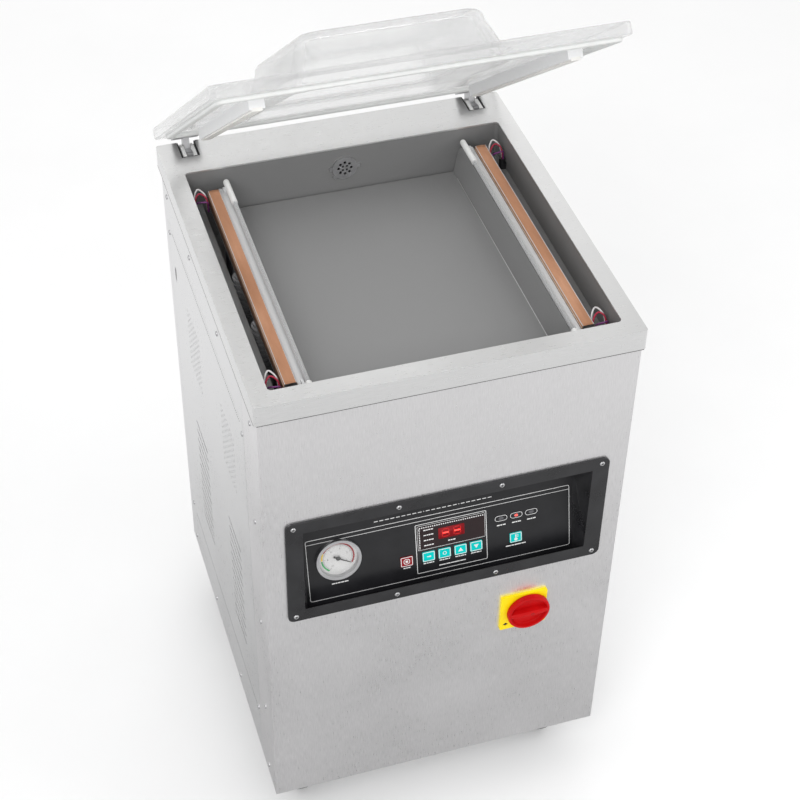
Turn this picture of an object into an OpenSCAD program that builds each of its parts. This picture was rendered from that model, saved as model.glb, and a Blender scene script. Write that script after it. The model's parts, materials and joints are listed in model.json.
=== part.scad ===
// Floor-standing single-chamber vacuum packing machine with two seal bars,
// a hinged clear lid and four swivel castors. Millimetres, +Z up, front at -Y.
// The origin is on the floor, under the middle of the cabinet.

/* [Cabinet] */
// Width of the sheet-metal cabinet
cabinet_w = 482; // [470:1:500]
// Depth of the sheet-metal cabinet
cabinet_d = 538; // [530:1:560]
// Height of the cabinet's underside above the floor
cabinet_z = 95; // [90:1:105]
// Height of the top of the rim above the floor
rim_z = 850; // [840:1:880]
// Sheet thickness of the panels
sheet = 1.5; // [1:0.1:2]

/* [Rim and chamber] */
// How far the rim stands out past the cabinet on each side
rim_overhang = 4; // [3:0.5:6]
// Height of the skirt folded down round the rim
rim_skirt = 30; // [25:1:35]
// Width of the chamber opening
chamber_w = 442; // [438:1:446]
// Depth of the chamber opening, front to back
chamber_d = 448; // [444:1:450]
// Middle of the chamber opening, back from the origin
chamber_y = -24; // [-26:1:-22]
// Depth of the chamber tub below the rim
tub_depth = 110; // [108:1:120]
// Depth of the food tray below the rim
tray_depth = 70; // [65:1:72]

/* [Seal bars] */
// Length of each seal bar
bar_l = 400; // [380:5:400]
// Distance of each seal bar from the middle
bar_x = 188; // [187:0.5:189]
// How far the bars rise against the lid
bar_lift = 6.5; // [4:0.5:6.5]

/* [Lid] */
// Angle of the lid above closed, as drawn
lid_angle = 37.8; // [0:0.1:37.8]
// Thickness of the clear lid plate
lid_t = 15.5; // [12:0.5:18]
// Height of the dome above the lid plate
dome_h = 53; // [45:1:60]

/* [Control panel] */
// Width of the control bezel
bezel_w = 430; // [425:1:435]
// Height of the control bezel
bezel_h = 180; // [178:1:184]
// Backward lean of the control face, in degrees
face_tilt = 13; // [10:1:15]

/* [Castors] */
// Radius of each castor wheel
wheel_r = 37.5; // [35:0.5:38]
// Trail of the wheel behind the swivel
castor_trail = 30; // [25:1:32]

/* [Hidden] */
$fn = 48;
eps = 0.01;

// Cabinet
half_w = cabinet_w / 2;
half_d = cabinet_d / 2;
rim_t = 2;
rim_half_w = half_w + rim_overhang;
rim_half_d = half_d + rim_overhang;
skirt_z = rim_z - rim_skirt;
panel_top = rim_z - rim_t;
frame_plate_t = 2;
floor_top = cabinet_z + frame_plate_t;
wrap_y = -189;           // where the front panel's side wraps end
cover_gap = 0.5;
cover_y = [wrap_y + cover_gap, 248];
cover_z = [172, 745];
lip_w = 15;              // lip that the side covers screw to
lip_back = 262;
rear_return = 22;
rear_cover_w = 468;
rear_cover_z = [110, 811];

// Perforations and louvres of the side covers
vent_y = [115, -86];
perf_z = 612;
perf_cols = 8;
perf_rows = 11;
perf_pitch = 9.5;
perf_r = 1.9;
louvre_z = 354;
louvre_n = 12;
louvre_pitch = 17.5;
louvre_l = 72;
louvre_h = 4;
finger_slot = [220, 668];

// Chamber
chamber_front = chamber_y - chamber_d / 2;
chamber_back = chamber_y + chamber_d / 2;
tub_t = 2;
tub_floor = rim_z - tub_depth;
tray_z = rim_z - tray_depth;
tray_t = 2;
tray_floor_x = 158;      // half width of the flat part of the tray
tray_rail_x = 168;       // where the flared side turns out into its flange
flange_x = 179;
flange_z = rim_z - 24;
tray_front = chamber_front + 2;
tray_back = chamber_back - 2;
tray_leg_x = 120;
port_z = rim_z - 33;     // suction port in the back wall
port_r = 12;
grille_r = 17.5;
ledge_x = 201;           // inner edge of the wiring ledge beside each seal bar
ledge_t = 2;

// Bag clips: a sprung rod along each side of the tray
clip_x = 167.5;
clip_z = rim_z - 18;
clip_spring_r = 3.2;
clip_sleeve_r = 4.2;
clip_rail_t = 2;
sleeve_l = 53;
clip_back = 194;
clip_front = -244;
front_sleeve_l = 16;

// Seal bars
bar_w = 15;
bar_h = 26;
tape_t = 0.5;
tape_drop = 20;
bar_top = rim_z - 17 - tape_t;
bar_back = chamber_y + bar_l / 2;
guide_y = [-150, 100];
guide_r = 4;
guide_gap = 0.3;
guide_end = tub_floor - 25;
bellows_y = [-75, 25];
bellows_r = 12;
bellows_top = bar_top - bar_h - 0.5;

// Heater leads: each arches from the bar over to a gland in the chamber wall
lead_r = 1.5;
lead_y = [163, -215];
lead_z = rim_z - 25;
lead_in = bar_x + 11.5;
lead_out = chamber_w / 2 - 4.5;
gland_z = lead_z - 26;   // underside of the lead glands, on the ledge

// Hinges
hinge_x = 204;
hinge_y = 271;
hinge_z = rim_z - 17;
hinge_pin_r = 3;
pin_gap = 0.05;
notch_w = 25;
notch_y = 236;
tongue_w = 8;
clevis_gap = 9;
clevis_w = 19;
clevis_base_z = 813;
clevis_front = 226;
toe = [239.5, 827.5];    // front end of the lid's hinge arm, closed
toe_r = 4;
spring_foot_z = 770;
spring_top_z = 840;
spring_y = 242.5;
spring_r = 4;
seat_t = 4;

// Lid, described closed and then turned about the hinge pins
lid_half_w = rim_half_w;
lid_front = -rim_half_d;
lid_back = hinge_y;
gasket_h = 5.5;
lid_z = rim_z + 0.5 + gasket_h;
lid_corner = 12;
gasket_w = 10;
gasket_half_x = 237;
gasket_front = -262;
gasket_back = 214;
counter_drop = 16;
counter_w = 18;
silicone_w = 12;
silicone_h = 4;
leaf_t = 4;
dome_half_w = 137;       // dome at the lid plate
dome_top_half_w = 116;   // dome near its crown
dome_y = [-182, 190];
dome_top_y = [-162, 168];
dome_wall = 7;
dome_corner = 32;
dome_edge = 14;

// Control panel
panel_x = 1.5;
bezel_z = 553.6;
bezel_t = 3;
bezel_corner = 9;
front_y = -half_d;
recess_w = 385;
recess_z = [485, 625];
face_w = 367;            // visible width of the face at the back of the recess
face_y = front_y + 15.6;
face_z = 472;
face_t = [-8, 157];      // span of the face up its own slope
face_plate_t = 2;
wall_t = 2.5;
bezel_screw_x = 204.5;
bezel_screw_z = 81.4;
gauge_at = [-138.8, 59.4];
gauge_r = 30;
key_w = 17;
key_h = 15;
key_out = 1;
key_gap = 0.4;
display_at = [-30.5, 44.5];
display_size = [91.5, 35.5];
// Places of the six keys, across and up the face
key_places = [[-47.8, 31.2], [-17.5, 31.8], [4.5, 31.8], [26.6, 31.8], [48.4, 31.8], [104, 31.6]];

// Main switch
switch_x = 114.5;
switch_z = 382;
knob_x = 120;
knob_z = 382.5;
switch_plate_w = 66;
switch_plate_h = 64;
switch_plate_t = 4;
knob_r = 30;
knob_t = 9;              // disc of the knob
knob_dish = 6.5;         // depth of the dish inside its rim
knob_rim = 4.5;
knob_handle_w = 9;
knob_out = 15.5;         // front of the handle, out from the panel
knob_shaft_r = 4;

// Castors
castor_x = 190;
castor_front_y = -215;
castor_back_y = 190;
wheel_w = 24;
axle_r = 4;
kingpin_r = 5;
fork_top = cabinet_z - 3.5;
fork_half = 13.5;
fork_leg_t = 3;

// Pump set
pump_x = 0;
pump_y = 200;
motor_z = 190;
motor_r = 58;
motor_end = -215;
hose_y = 232;
hose_r = 14;

// Rear
gland_at = [150, 150];   // the mains gland, across and up the rear cover
gland_bore_r = 5;
gland_thread_r = 8;

// Screws
screw_r = 1.5;
screw_l = 8;

// ---------------------------------------------------------------- helpers

// A box from its lowest corner to its highest corner
module span(lo, hi) {
    translate(lo) cube([hi[0] - lo[0], hi[1] - lo[1], hi[2] - lo[2]]);
}

// A rectangle with round corners, centred
module round_rect(w, h, r) {
    union() {
        square([w - 2 * r, h], center = true);
        square([w, h - 2 * r], center = true);
        for (sx = [-1, 1], sy = [-1, 1])
            translate([sx * (w / 2 - r), sy * (h / 2 - r)]) circle(r);
    }
}

// A round-cornered plate that stands upright, its front at y and its thickness going back
module upright_plate(w, h, r, t) {
    translate([0, t, 0]) rotate([90, 0, 0]) linear_extrude(t) round_rect(w, h, r);
}

// A shape and its mirror image across the middle of the machine
module both_sides() {
    children();
    mirror([1, 0, 0]) children();
}

// A cylinder along X, centred on the origin
module along_x(l, r) {
    rotate([0, 90, 0]) cylinder(h = l, r = r, center = true);
}

// A cylinder along Y, from y to y + l
module along_y(l, r) {
    rotate([-90, 0, 0]) cylinder(h = l, r = r);
}

// A profile drawn in Y and Z, extruded along X and centred
module yz_profile(w) {
    translate([-w / 2, 0, 0]) rotate([90, 0, 90]) linear_extrude(w) children();
}

// Places a child drawn on the control face: x across, -y out, z up the slope
module on_face(x = 0, t = 0) {
    translate([panel_x, face_y, face_z]) rotate([-face_tilt, 0, 0]) translate([x, 0, t]) children();
}

// Turns the closed lid to the angle at which it is drawn
module open_lid() {
    translate([0, hinge_y, hinge_z]) rotate([-lid_angle, 0, 0]) translate([0, -hinge_y, -hinge_z])
        children();
}

// A pan-head screw whose head stands out of a face at y = 0 towards -Y
module pan_screw() {
    difference() {
        union() {
            translate([0, -1.6, 0]) along_y(1.6, 3.6);
            along_y(screw_l, screw_r);
        }
        translate([0, -2, 0]) along_y(1.2, 1.4);
    }
}

// The tapped hole that such a screw goes into
module screw_hole() {
    translate([0, -0.5, 0]) along_y(screw_l + 1, screw_r + pin_gap);
}

// Each of these puts a screw or a hole at every place of one group, facing out
module at_bezel_screws() {
    for (col = [-3, -1, 1, 3], row = [-1, 1])
        translate([panel_x + col * bezel_screw_x / 3, front_y - bezel_t, bezel_z + row * bezel_screw_z])
            children();
}

module at_wrap_screws() {
    both_sides() for (z = [cabinet_z + 20, 250, 430, 620, rim_z - 62])
        translate([half_w, -230, z]) rotate([0, 0, 90]) children();
}

module at_frame_screws() {
    both_sides() for (y = [-60, 100, 240], z = [cabinet_z + 20, rim_z - 62])
        translate([half_w, y, z]) rotate([0, 0, 90]) children();
}

module at_cover_screws() {
    both_sides() for (y = [wrap_y + 7, 241], z = [190, 727])
        translate([half_w, y, z]) rotate([0, 0, 90]) children();
}

module at_rear_screws() {
    both_sides() for (z = [125, 460, 797])
        translate([rear_cover_w / 2 - 8, half_d + sheet, z]) rotate([0, 0, 180]) children();
}

// ---------------------------------------------------------------- cabinet

// One side of the frame: a sheet with a window, and the lip that the cover sits on
module frame_side() {
    difference() {
        span([half_w - sheet, wrap_y, cabinet_z], [half_w, half_d, panel_top]);
        span([half_w - 3, wrap_y - 1, cover_z[0] - cover_gap],
             [half_w + 1, cover_y[1] + cover_gap, cover_z[1] + cover_gap]);
    }
    difference() {
        span([half_w - 2 * sheet, wrap_y - lip_w, cover_z[0] - lip_w],
             [half_w - sheet, lip_back, cover_z[1] + lip_w]);
        span([half_w - 5, wrap_y + lip_w, cover_z[0] + lip_w],
             [half_w, cover_y[1] - lip_w, cover_z[1] - lip_w]);
    }
    span([half_w - rear_return, half_d - sheet, cabinet_z], [half_w - sheet, half_d, panel_top]);
}

module cabinet_frame() {
    color("gainsboro") {
        difference() {
            span([-half_w + sheet, -half_d + sheet, cabinet_z],
                 [half_w - sheet, half_d - sheet, floor_top]);
            for (x = [-1, 0, 1], y = [-1, 1])
                translate([x * 70, y * 95, cabinet_z - 1]) cylinder(h = 6, r = 12);
        }
        difference() {
            both_sides() frame_side();
            at_frame_screws() screw_hole();
            at_cover_screws() screw_hole();
            at_rear_screws() screw_hole();
        }
        for (y = [-half_d + sheet, half_d - 2 * sheet - 0.5])
            span([-half_w + rear_return, y, floor_top], [half_w - rear_return, y + sheet, floor_top + 13]);
    }
}

module front_panel() {
    color("silver") {
        difference() {
            span([-half_w, -half_d, cabinet_z], [half_w, -half_d + sheet, panel_top]);
            translate([panel_x, -half_d - 1, bezel_z]) upright_plate(bezel_w - 24, bezel_h - 24, 6, 5);
            translate([knob_x, -half_d - 1, knob_z]) along_y(5, 12);
            at_bezel_screws() screw_hole();
        }
        difference() {
            both_sides()
                span([half_w - sheet, -half_d + sheet, cabinet_z], [half_w, wrap_y - cover_gap, panel_top]);
            at_wrap_screws() screw_hole();
        }
    }
}

// The removable cover in each side, with its vents, drawn for the right side
module side_cover() {
    difference() {
        span([half_w - sheet, cover_y[0], cover_z[0]], [half_w, cover_y[1], cover_z[1]]);
        for (y0 = vent_y, col = [0 : perf_cols - 1], row = [0 : perf_rows - 1])
            translate([half_w, y0 + (col - (perf_cols - 1) / 2) * perf_pitch,
                       perf_z + (row - (perf_rows - 1) / 2) * perf_pitch]) along_x(6, perf_r);
        for (y0 = vent_y, i = [0 : louvre_n - 1])
            translate([half_w, y0, louvre_z + (i - (louvre_n - 1) / 2) * louvre_pitch])
                cube([6, louvre_l, louvre_h], center = true);
        translate([half_w, finger_slot[0], finger_slot[1]]) cube([6, 9, 24], center = true);
        at_cover_screws() screw_hole();
    }
}

module left_side_cover() {
    color("whitesmoke") mirror([1, 0, 0]) side_cover();
}

module right_side_cover() {
    color("whitesmoke") side_cover();
}

module rear_cover() {
    louvre_x = 110;
    color("gainsboro") difference() {
        span([-rear_cover_w / 2, half_d, rear_cover_z[0]],
             [rear_cover_w / 2, half_d + sheet, rear_cover_z[1]]);
        for (x = [-louvre_x, louvre_x], i = [0 : 9])
            translate([x, half_d, 230 + i * louvre_pitch]) cube([90, 6, louvre_h], center = true);
        translate([gland_at[0], half_d - 1, gland_at[1]]) along_y(5, gland_thread_r + 0.1);
        at_rear_screws() screw_hole();
    }
}

module top_rim() {
    color("lightgray") difference() {
        union() {
            difference() {
                translate([0, 0, rim_z - rim_t]) linear_extrude(rim_t)
                    round_rect(2 * rim_half_w, 2 * rim_half_d, 4);
                translate([0, chamber_y, rim_z - rim_t - 1]) linear_extrude(rim_t + 2)
                    round_rect(chamber_w, chamber_d, 5);
            }
            translate([0, 0, skirt_z]) linear_extrude(rim_skirt - rim_t) difference() {
                round_rect(2 * rim_half_w, 2 * rim_half_d, 4);
                round_rect(2 * (rim_half_w - rim_t), 2 * (rim_half_d - rim_t), 2);
            }
        }
        both_sides()
            span([hinge_x - notch_w / 2, notch_y, skirt_z - 1],
                 [hinge_x + notch_w / 2, rim_half_d + 1, rim_z + 1]);
    }
}

// ---------------------------------------------------------------- chamber

// The tub, with a narrow ledge along each side wall that carries the glands
module chamber_tub() {
    color("darkgray") difference() {
        union() {
            difference() {
                translate([0, chamber_y, tub_floor - tub_t]) linear_extrude(tub_depth)
                    round_rect(chamber_w + 2 * tub_t, chamber_d + 2 * tub_t, 5 + tub_t);
                translate([0, chamber_y, tub_floor]) linear_extrude(tub_depth)
                    round_rect(chamber_w, chamber_d, 5);
            }
            both_sides()
                span([ledge_x, chamber_front - tub_t / 2, gland_z - ledge_t],
                     [chamber_w / 2 + tub_t / 2, chamber_back + tub_t / 2, gland_z]);
        }
        translate([0, chamber_back - 1, port_z]) along_y(5, port_r);
        for (x = [-bar_x, bar_x], y = guide_y)
            translate([x, y, tub_floor - 5]) cylinder(h = 10, r = guide_r + guide_gap);
    }
}

// The food tray: a flat floor, flared sides with round back corners, and legs under it
module floor_tray() {
    side = [
        [tray_floor_x, tray_z], [tray_rail_x - tray_t, flange_z], [flange_x, flange_z],
        [flange_x, flange_z - tray_t], [tray_rail_x, flange_z - tray_t],
        [tray_floor_x + tray_t, tray_z - tray_t]
    ];
    tray_l = tray_back - tray_front;
    tray_mid = (tray_back + tray_front) / 2;
    corner = 16;
    color("gray") {
        span([-tray_floor_x - 0.5, tray_front, tray_z - tray_t], [tray_floor_x + 0.5, tray_back, tray_z]);
        both_sides() intersection() {
            translate([0, tray_back, 0]) rotate([90, 0, 0]) linear_extrude(tray_l) polygon(side);
            translate([0, tray_mid, tray_z]) yz_profile(500) round_rect(tray_l, 2 * (flange_z - tray_z), corner);
        }
        both_sides()
            span([tray_leg_x, tray_front + 30, tub_floor], [tray_leg_x + tray_t, tray_back - 30, tray_z - tray_t]);
    }
}

module clip_rails() {
    rail_z = flange_z + clip_rail_t;
    color("silver") both_sides() difference() {
        union() {
            span([tray_rail_x, tray_front + 16, flange_z], [flange_x, tray_back - 16, rail_z]);
            for (y = [tray_front + 16, tray_back - 28])
                span([tray_rail_x, y, rail_z], [tray_rail_x + 7, y + 10, clip_z]);
        }
        translate([clip_x, clip_front - 10, clip_z]) along_y(460, clip_sleeve_r);
    }
}

module clip_springs() {
    turns_pitch = 4.5;
    length = clip_back - sleeve_l - clip_front - front_sleeve_l;
    y0 = clip_front + front_sleeve_l;
    color("silver") both_sides() translate([clip_x, y0, clip_z]) {
        along_y(length, clip_spring_r - 0.7);
        for (i = [1 : floor(length / turns_pitch) - 1])
            translate([0, i * turns_pitch, 0]) along_y(turns_pitch / 2, clip_spring_r);
    }
}

module clip_sleeves() {
    color("white") both_sides() translate([clip_x, 0, clip_z]) {
        translate([0, clip_back - sleeve_l, 0]) along_y(sleeve_l - clip_sleeve_r, clip_sleeve_r);
        translate([0, clip_back - clip_sleeve_r, 0]) sphere(clip_sleeve_r);
        translate([0, clip_front, 0]) along_y(front_sleeve_l, clip_sleeve_r);
    }
}

module suction_grille() {
    color("silver") difference() {
        translate([0, chamber_back - 2.5, port_z]) {
            along_y(2.5, grille_r);
            for (a = [0, 135, 180])
                rotate([0, a, 0]) span([grille_r - 5, 0.6, -3], [grille_r + 4, 2.4, 3]);
        }
        for (a = [0 : 45 : 315])
            translate([9 * cos(a), chamber_back - 4, port_z + 9 * sin(a)]) along_y(6, 2);
        for (a = [45, 135, 225, 315])
            translate([4 * cos(a), chamber_back - 4, port_z + 4 * sin(a)]) along_y(6, 1.6);
    }
}

module lift_bellows() {
    fold = 8;
    color("dimgray") for (x = [-bar_x, bar_x], y = bellows_y) translate([x, y, tub_floor]) {
        cylinder(h = bellows_top - tub_floor, r = bellows_r - 2.5);
        for (z = [2 : fold : bellows_top - tub_floor - fold / 2])
            translate([0, 0, z]) cylinder(h = fold / 2, r = bellows_r);
    }
}

module heater_leads() {
    arch = (lead_out - lead_in) / 2;
    color("firebrick") both_sides() for (y = lead_y)
        translate([(lead_in + lead_out) / 2, y, lead_z]) {
            rotate([90, 0, 0]) rotate_extrude(angle = 180) translate([arch, 0]) circle(lead_r);
            for (x = [-arch, arch]) translate([x, 0, -14]) cylinder(h = 14, r = lead_r);
        }
}

module lead_glands() {
    color("black") both_sides() for (y = lead_y)
        translate([chamber_w / 2 - 9, y, gland_z]) difference() {
            union() {
                translate([4.5, 0, 0]) cylinder(h = 16, r = 4.5);
                translate([4.5, -5, 0]) cube([4.5, 10, 10]);
            }
            translate([4.5, 0, 12]) cylinder(h = 6, r = lead_r);
        }
}

// ---------------------------------------------------------------- hinges

module hinge_clevises() {
    ear = [
        [notch_y + 2.5, clevis_base_z], [hinge_y, clevis_base_z], [hinge_y, hinge_z + 10],
        [hinge_y - 8, rim_z - 0.5], [notch_y + 2.5, rim_z - 0.5]
    ];
    color("white") both_sides() translate([hinge_x, 0, 0]) {
        difference() {
            union() {
                yz_profile(clevis_w) polygon(ear);
                translate([0, hinge_y, hinge_z]) along_x(clevis_w, 12);
                span([-clevis_w / 2, clevis_front, clevis_base_z],
                     [clevis_w / 2, notch_y + 3, rim_z - rim_t - 1]);
                span([-clevis_w / 2 - 6, clevis_front, spring_foot_z - seat_t],
                     [clevis_w / 2 + 6, notch_y - 4, rim_z - rim_t]);
                span([-clevis_w / 2, clevis_front, spring_foot_z - seat_t],
                     [clevis_w / 2, spring_y + 8, spring_foot_z]);
            }
            span([-clevis_gap / 2, notch_y - 2, spring_foot_z], [clevis_gap / 2, 300, rim_z + 5]);
            translate([0, hinge_y, hinge_z]) along_x(40, hinge_pin_r);
        }
    }
}

module hinge_pins() {
    color("silver") both_sides()
        translate([hinge_x, hinge_y, hinge_z]) along_x(clevis_w, hinge_pin_r);
}

// Compression springs under the toes of the hinge arms push the lid open
module hinge_springs() {
    spring_h = spring_top_z - spring_foot_z;
    coil_pitch = 5;
    color("silver") both_sides() translate([hinge_x, spring_y, spring_foot_z]) {
        cylinder(h = spring_h, r = spring_r - 0.8);
        for (z = [0 : coil_pitch : spring_h - coil_pitch / 2])
            translate([0, 0, z]) cylinder(h = coil_pitch / 2, r = spring_r);
    }
}

module hinge_arms() {
    tongue = [
        [250, lid_z - leaf_t], [lid_back - 2, lid_z - leaf_t], [hinge_y + 8.4, hinge_z + 3],
        [hinge_y + 4, hinge_z - 8], [toe[0], toe[1] - toe_r], [toe[0] - 3, toe[1] + 2],
        [toe[0], toe[1] + toe_r], [hinge_y - 16, hinge_z + 4]
    ];
    color("silver") open_lid() both_sides() translate([hinge_x, 0, 0]) {
        difference() {
            union() {
                yz_profile(tongue_w) polygon(tongue);
                translate([0, hinge_y, hinge_z]) along_x(tongue_w, 9);
                span([-18, 234, lid_z - leaf_t], [18, lid_back - 3, lid_z]);
            }
            translate([0, hinge_y, hinge_z]) along_x(20, hinge_pin_r + pin_gap);
        }
    }
}

// ---------------------------------------------------------------- lid

// The dome's solid from base_z up: wide at the plate, narrower at a rounded crown
module dome_solid(inset, base_z, top) {
    corner = dome_corner - inset;
    edge = max(dome_edge - inset, 4);
    hull() {
        for (sx = [-1, 1], y = [dome_y[0] + dome_corner, dome_y[1] - dome_corner])
            translate([sx * (dome_half_w - dome_corner), y, base_z]) cylinder(h = 1, r = corner, $fn = 32);
        for (sx = [-1, 1], y = [dome_top_y[0] + dome_corner, dome_top_y[1] - dome_corner])
            translate([sx * (dome_top_half_w - dome_corner), y, top - edge])
                rotate_extrude($fn = 32) intersection() {
                    translate([corner - edge, 0]) circle(edge, $fn = 32);
                    translate([0, -edge]) square([corner + 1, 2 * edge]);
                }
    }
}

module lid_shell() {
    crown = lid_z + lid_t + dome_h;
    mid_y = (lid_front + lid_back) / 2;
    color("white", 0.5) open_lid() difference() {
        union() {
            translate([0, mid_y, lid_z]) linear_extrude(lid_t)
                round_rect(2 * lid_half_w, lid_back - lid_front, lid_corner);
            dome_solid(0, lid_z + 2, crown);
        }
        dome_solid(dome_wall, lid_z - 2, crown - dome_wall);
    }
}

module lid_gasket() {
    mid_y = (gasket_front + gasket_back) / 2;
    length = gasket_back - gasket_front;
    color("white") open_lid() translate([0, mid_y, lid_z - gasket_h]) linear_extrude(gasket_h) difference() {
        round_rect(2 * gasket_half_x, length, 14);
        round_rect(2 * (gasket_half_x - gasket_w), length - 2 * gasket_w, 6);
    }
}

module counter_bars() {
    color("silver") open_lid() both_sides() translate([bar_x, 0, 0]) difference() {
        span([-counter_w / 2, chamber_y - bar_l / 2, lid_z - counter_drop + silicone_h / 2],
             [counter_w / 2, bar_back, lid_z]);
        span([-silicone_w / 2, chamber_y - bar_l / 2 - 1, lid_z - counter_drop - 1],
             [silicone_w / 2, bar_back + 1, lid_z - counter_drop + silicone_h]);
    }
}

module counter_silicones() {
    color("ivory") open_lid() both_sides() translate([bar_x, 0, 0])
        span([-silicone_w / 2, chamber_y - bar_l / 2 + 1, lid_z - counter_drop],
             [silicone_w / 2, bar_back - 1, lid_z - counter_drop + silicone_h]);
}

// ---------------------------------------------------------------- seal bars

// An aluminium bar on two guide rods
module seal_bar() {
    color("silver") {
        span([bar_x - bar_w / 2, bar_back - bar_l, bar_top - bar_h], [bar_x + bar_w / 2, bar_back, bar_top]);
        for (y = guide_y)
            translate([bar_x, y, guide_end]) cylinder(h = bar_top - bar_h - guide_end + 1, r = guide_r);
    }
}

// Non-stick tape folded over the heater strip and down both sides of the bar
module seal_tape() {
    half = bar_w / 2;
    color("peru") difference() {
        span([bar_x - half - tape_t, bar_back - bar_l, bar_top - tape_drop],
             [bar_x + half + tape_t, bar_back, bar_top + tape_t]);
        span([bar_x - half, bar_back - bar_l - 1, bar_top - tape_drop - 1],
             [bar_x + half, bar_back + 1, bar_top]);
    }
}

module seal_bar_left() {
    mirror([1, 0, 0]) seal_bar();
}

module seal_tape_left() {
    mirror([1, 0, 0]) seal_tape();
}

module seal_bar_right() {
    seal_bar();
}

module seal_tape_right() {
    seal_tape();
}

// ---------------------------------------------------------------- control panel

// The recess between its mouth in the bezel and the leaning face, grown by a margin
module recess(margin) {
    half_mouth = recess_w / 2 + margin;
    half_face = face_w / 2 + margin;
    mouth_y = front_y - bezel_t;
    tail = margin == 0 ? 1 : 0;
    hull() {
        span([panel_x - half_mouth, mouth_y - tail, recess_z[0] - margin],
             [panel_x + half_mouth, mouth_y - tail + eps, recess_z[1] + margin]);
        on_face() span([-half_face, tail - eps, face_t[0] - margin], [half_face, tail, face_t[1] + margin]);
    }
}

module control_bezel() {
    color([0.12, 0.12, 0.13]) difference() {
        union() {
            translate([panel_x, front_y - bezel_t, bezel_z]) upright_plate(bezel_w, bezel_h, bezel_corner, bezel_t);
            recess(wall_t);
        }
        recess(0);
        at_bezel_screws() screw_hole();
    }
}

module control_face() {
    color([0.1, 0.1, 0.1]) difference() {
        on_face() span([-face_w / 2 - wall_t, 0, face_t[0] - wall_t],
                       [face_w / 2 + wall_t, face_plate_t, face_t[1] + wall_t]);
        on_face(gauge_at[0], gauge_at[1]) translate([0, -5, 0]) along_y(20, gauge_r - 2.7);
        for (key = key_places) on_face(key[0], key[1])
            cube([key_w + 2 * key_gap, 10, key_h + 2 * key_gap], center = true);
    }
}

module display_module() {
    at = display_at;
    size = display_size;
    color([0.15, 0.02, 0.02]) on_face() span([at[0], -1, at[1]], [at[0] + size[0], 0, at[1] + size[1]]);
}

// A key cap that stands out of the face and reaches through it to its switch
module key_cap(i) {
    on_face(key_places[i][0], key_places[i][1])
        translate([0, -key_out, 0]) upright_plate(key_w, key_h, 1.5, key_out + face_plate_t + 1);
}

module stop_key() {
    color("darkred") key_cap(0);
}

module menu_key() {
    color("turquoise") key_cap(1);
}

module set_key() {
    color("turquoise") key_cap(2);
}

module up_key() {
    color("turquoise") key_cap(3);
}

module down_key() {
    color("turquoise") key_cap(4);
}

module heat_key() {
    color("turquoise") key_cap(5);
}

module gauge_case() {
    color("silver") on_face(gauge_at[0], gauge_at[1]) difference() {
        union() {
            translate([0, -5, 0]) along_y(5, gauge_r);
            along_y(26, gauge_r - 3);
            translate([0, 26, 0]) along_y(14, 6);
        }
        translate([0, -6, 0]) along_y(10, gauge_r - 4);
    }
}

module gauge_dial() {
    color("white") on_face(gauge_at[0], gauge_at[1]) difference() {
        translate([0, 2, 0]) along_y(2, gauge_r - 4);
        translate([0, 1, 0]) along_y(5, 1.3);
    }
}

module gauge_needle() {
    color("black") on_face(gauge_at[0], gauge_at[1]) {
        translate([0, -1.2, 0]) along_y(1.2, 3.2);
        translate([0, -0.2, 0]) along_y(3.6, 1);
        rotate([0, 31, 0]) span([-6, -0.8, -0.7], [20, -0.2, 0.7]);
    }
}

module gauge_glass() {
    color("white", 0.3) on_face(gauge_at[0], gauge_at[1])
        translate([0, -3.6, 0]) along_y(1.4, gauge_r - 4);
}

module control_board() {
    color("darkgreen") on_face() {
        difference() {
            span([-80, 8, -2], [150, 9.6, 110]);
            translate([0, 5, 100]) along_y(8, 2);
        }
        span([-20, 9.6, 20], [20, 22, 50]);
        span([60, 9.6, 20], [100, 30, 60]);
        for (x = [-60, -45, 120]) translate([x, 9.6, 70]) along_y(16, 5);
    }
}

// ---------------------------------------------------------------- main switch

module main_switch() {
    half_plate = switch_plate_w / 2;
    block = 24;
    color("gold") difference() {
        union() {
            translate([switch_x, front_y - switch_plate_t, switch_z])
                upright_plate(switch_plate_w, switch_plate_h, 2, switch_plate_t);
            translate([knob_x, front_y - 0.5, knob_z]) along_y(10, 11);
            span([knob_x - block, front_y + 6, knob_z - block], [knob_x + block, front_y + 52, knob_z + block]);
        }
        translate([knob_x, front_y - 10, knob_z]) along_y(26, knob_shaft_r + pin_gap);
        translate([switch_x - half_plate + 8, front_y - switch_plate_t - 1, switch_z - 22])
            rotate([0, 45, 0]) cube([5, 3, 5], center = true);
    }
}

// A dished disc with a bar handle across it, on a shaft into the switch
module switch_knob() {
    gap = 0.3;
    color("red") translate([knob_x, front_y - switch_plate_t - gap, knob_z]) {
        difference() {
            translate([0, -knob_t, 0]) along_y(knob_t, knob_r);
            translate([0, -knob_t - 1, 0]) along_y(knob_dish + 1, knob_r - knob_rim);
        }
        intersection() {
            span([-knob_r, switch_plate_t + gap - knob_out, -knob_handle_w / 2],
                 [knob_r, -1, knob_handle_w / 2]);
            translate([0, -2 * knob_out, 0]) along_y(2 * knob_out, knob_r - 1);
        }
        along_y(14, knob_shaft_r);
    }
}

module panel_screws() {
    color("silver") {
        at_bezel_screws() pan_screw();
        at_wrap_screws() pan_screw();
        at_frame_screws() pan_screw();
        at_cover_screws() pan_screw();
        at_rear_screws() pan_screw();
    }
}

// ---------------------------------------------------------------- rear and inside

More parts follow.
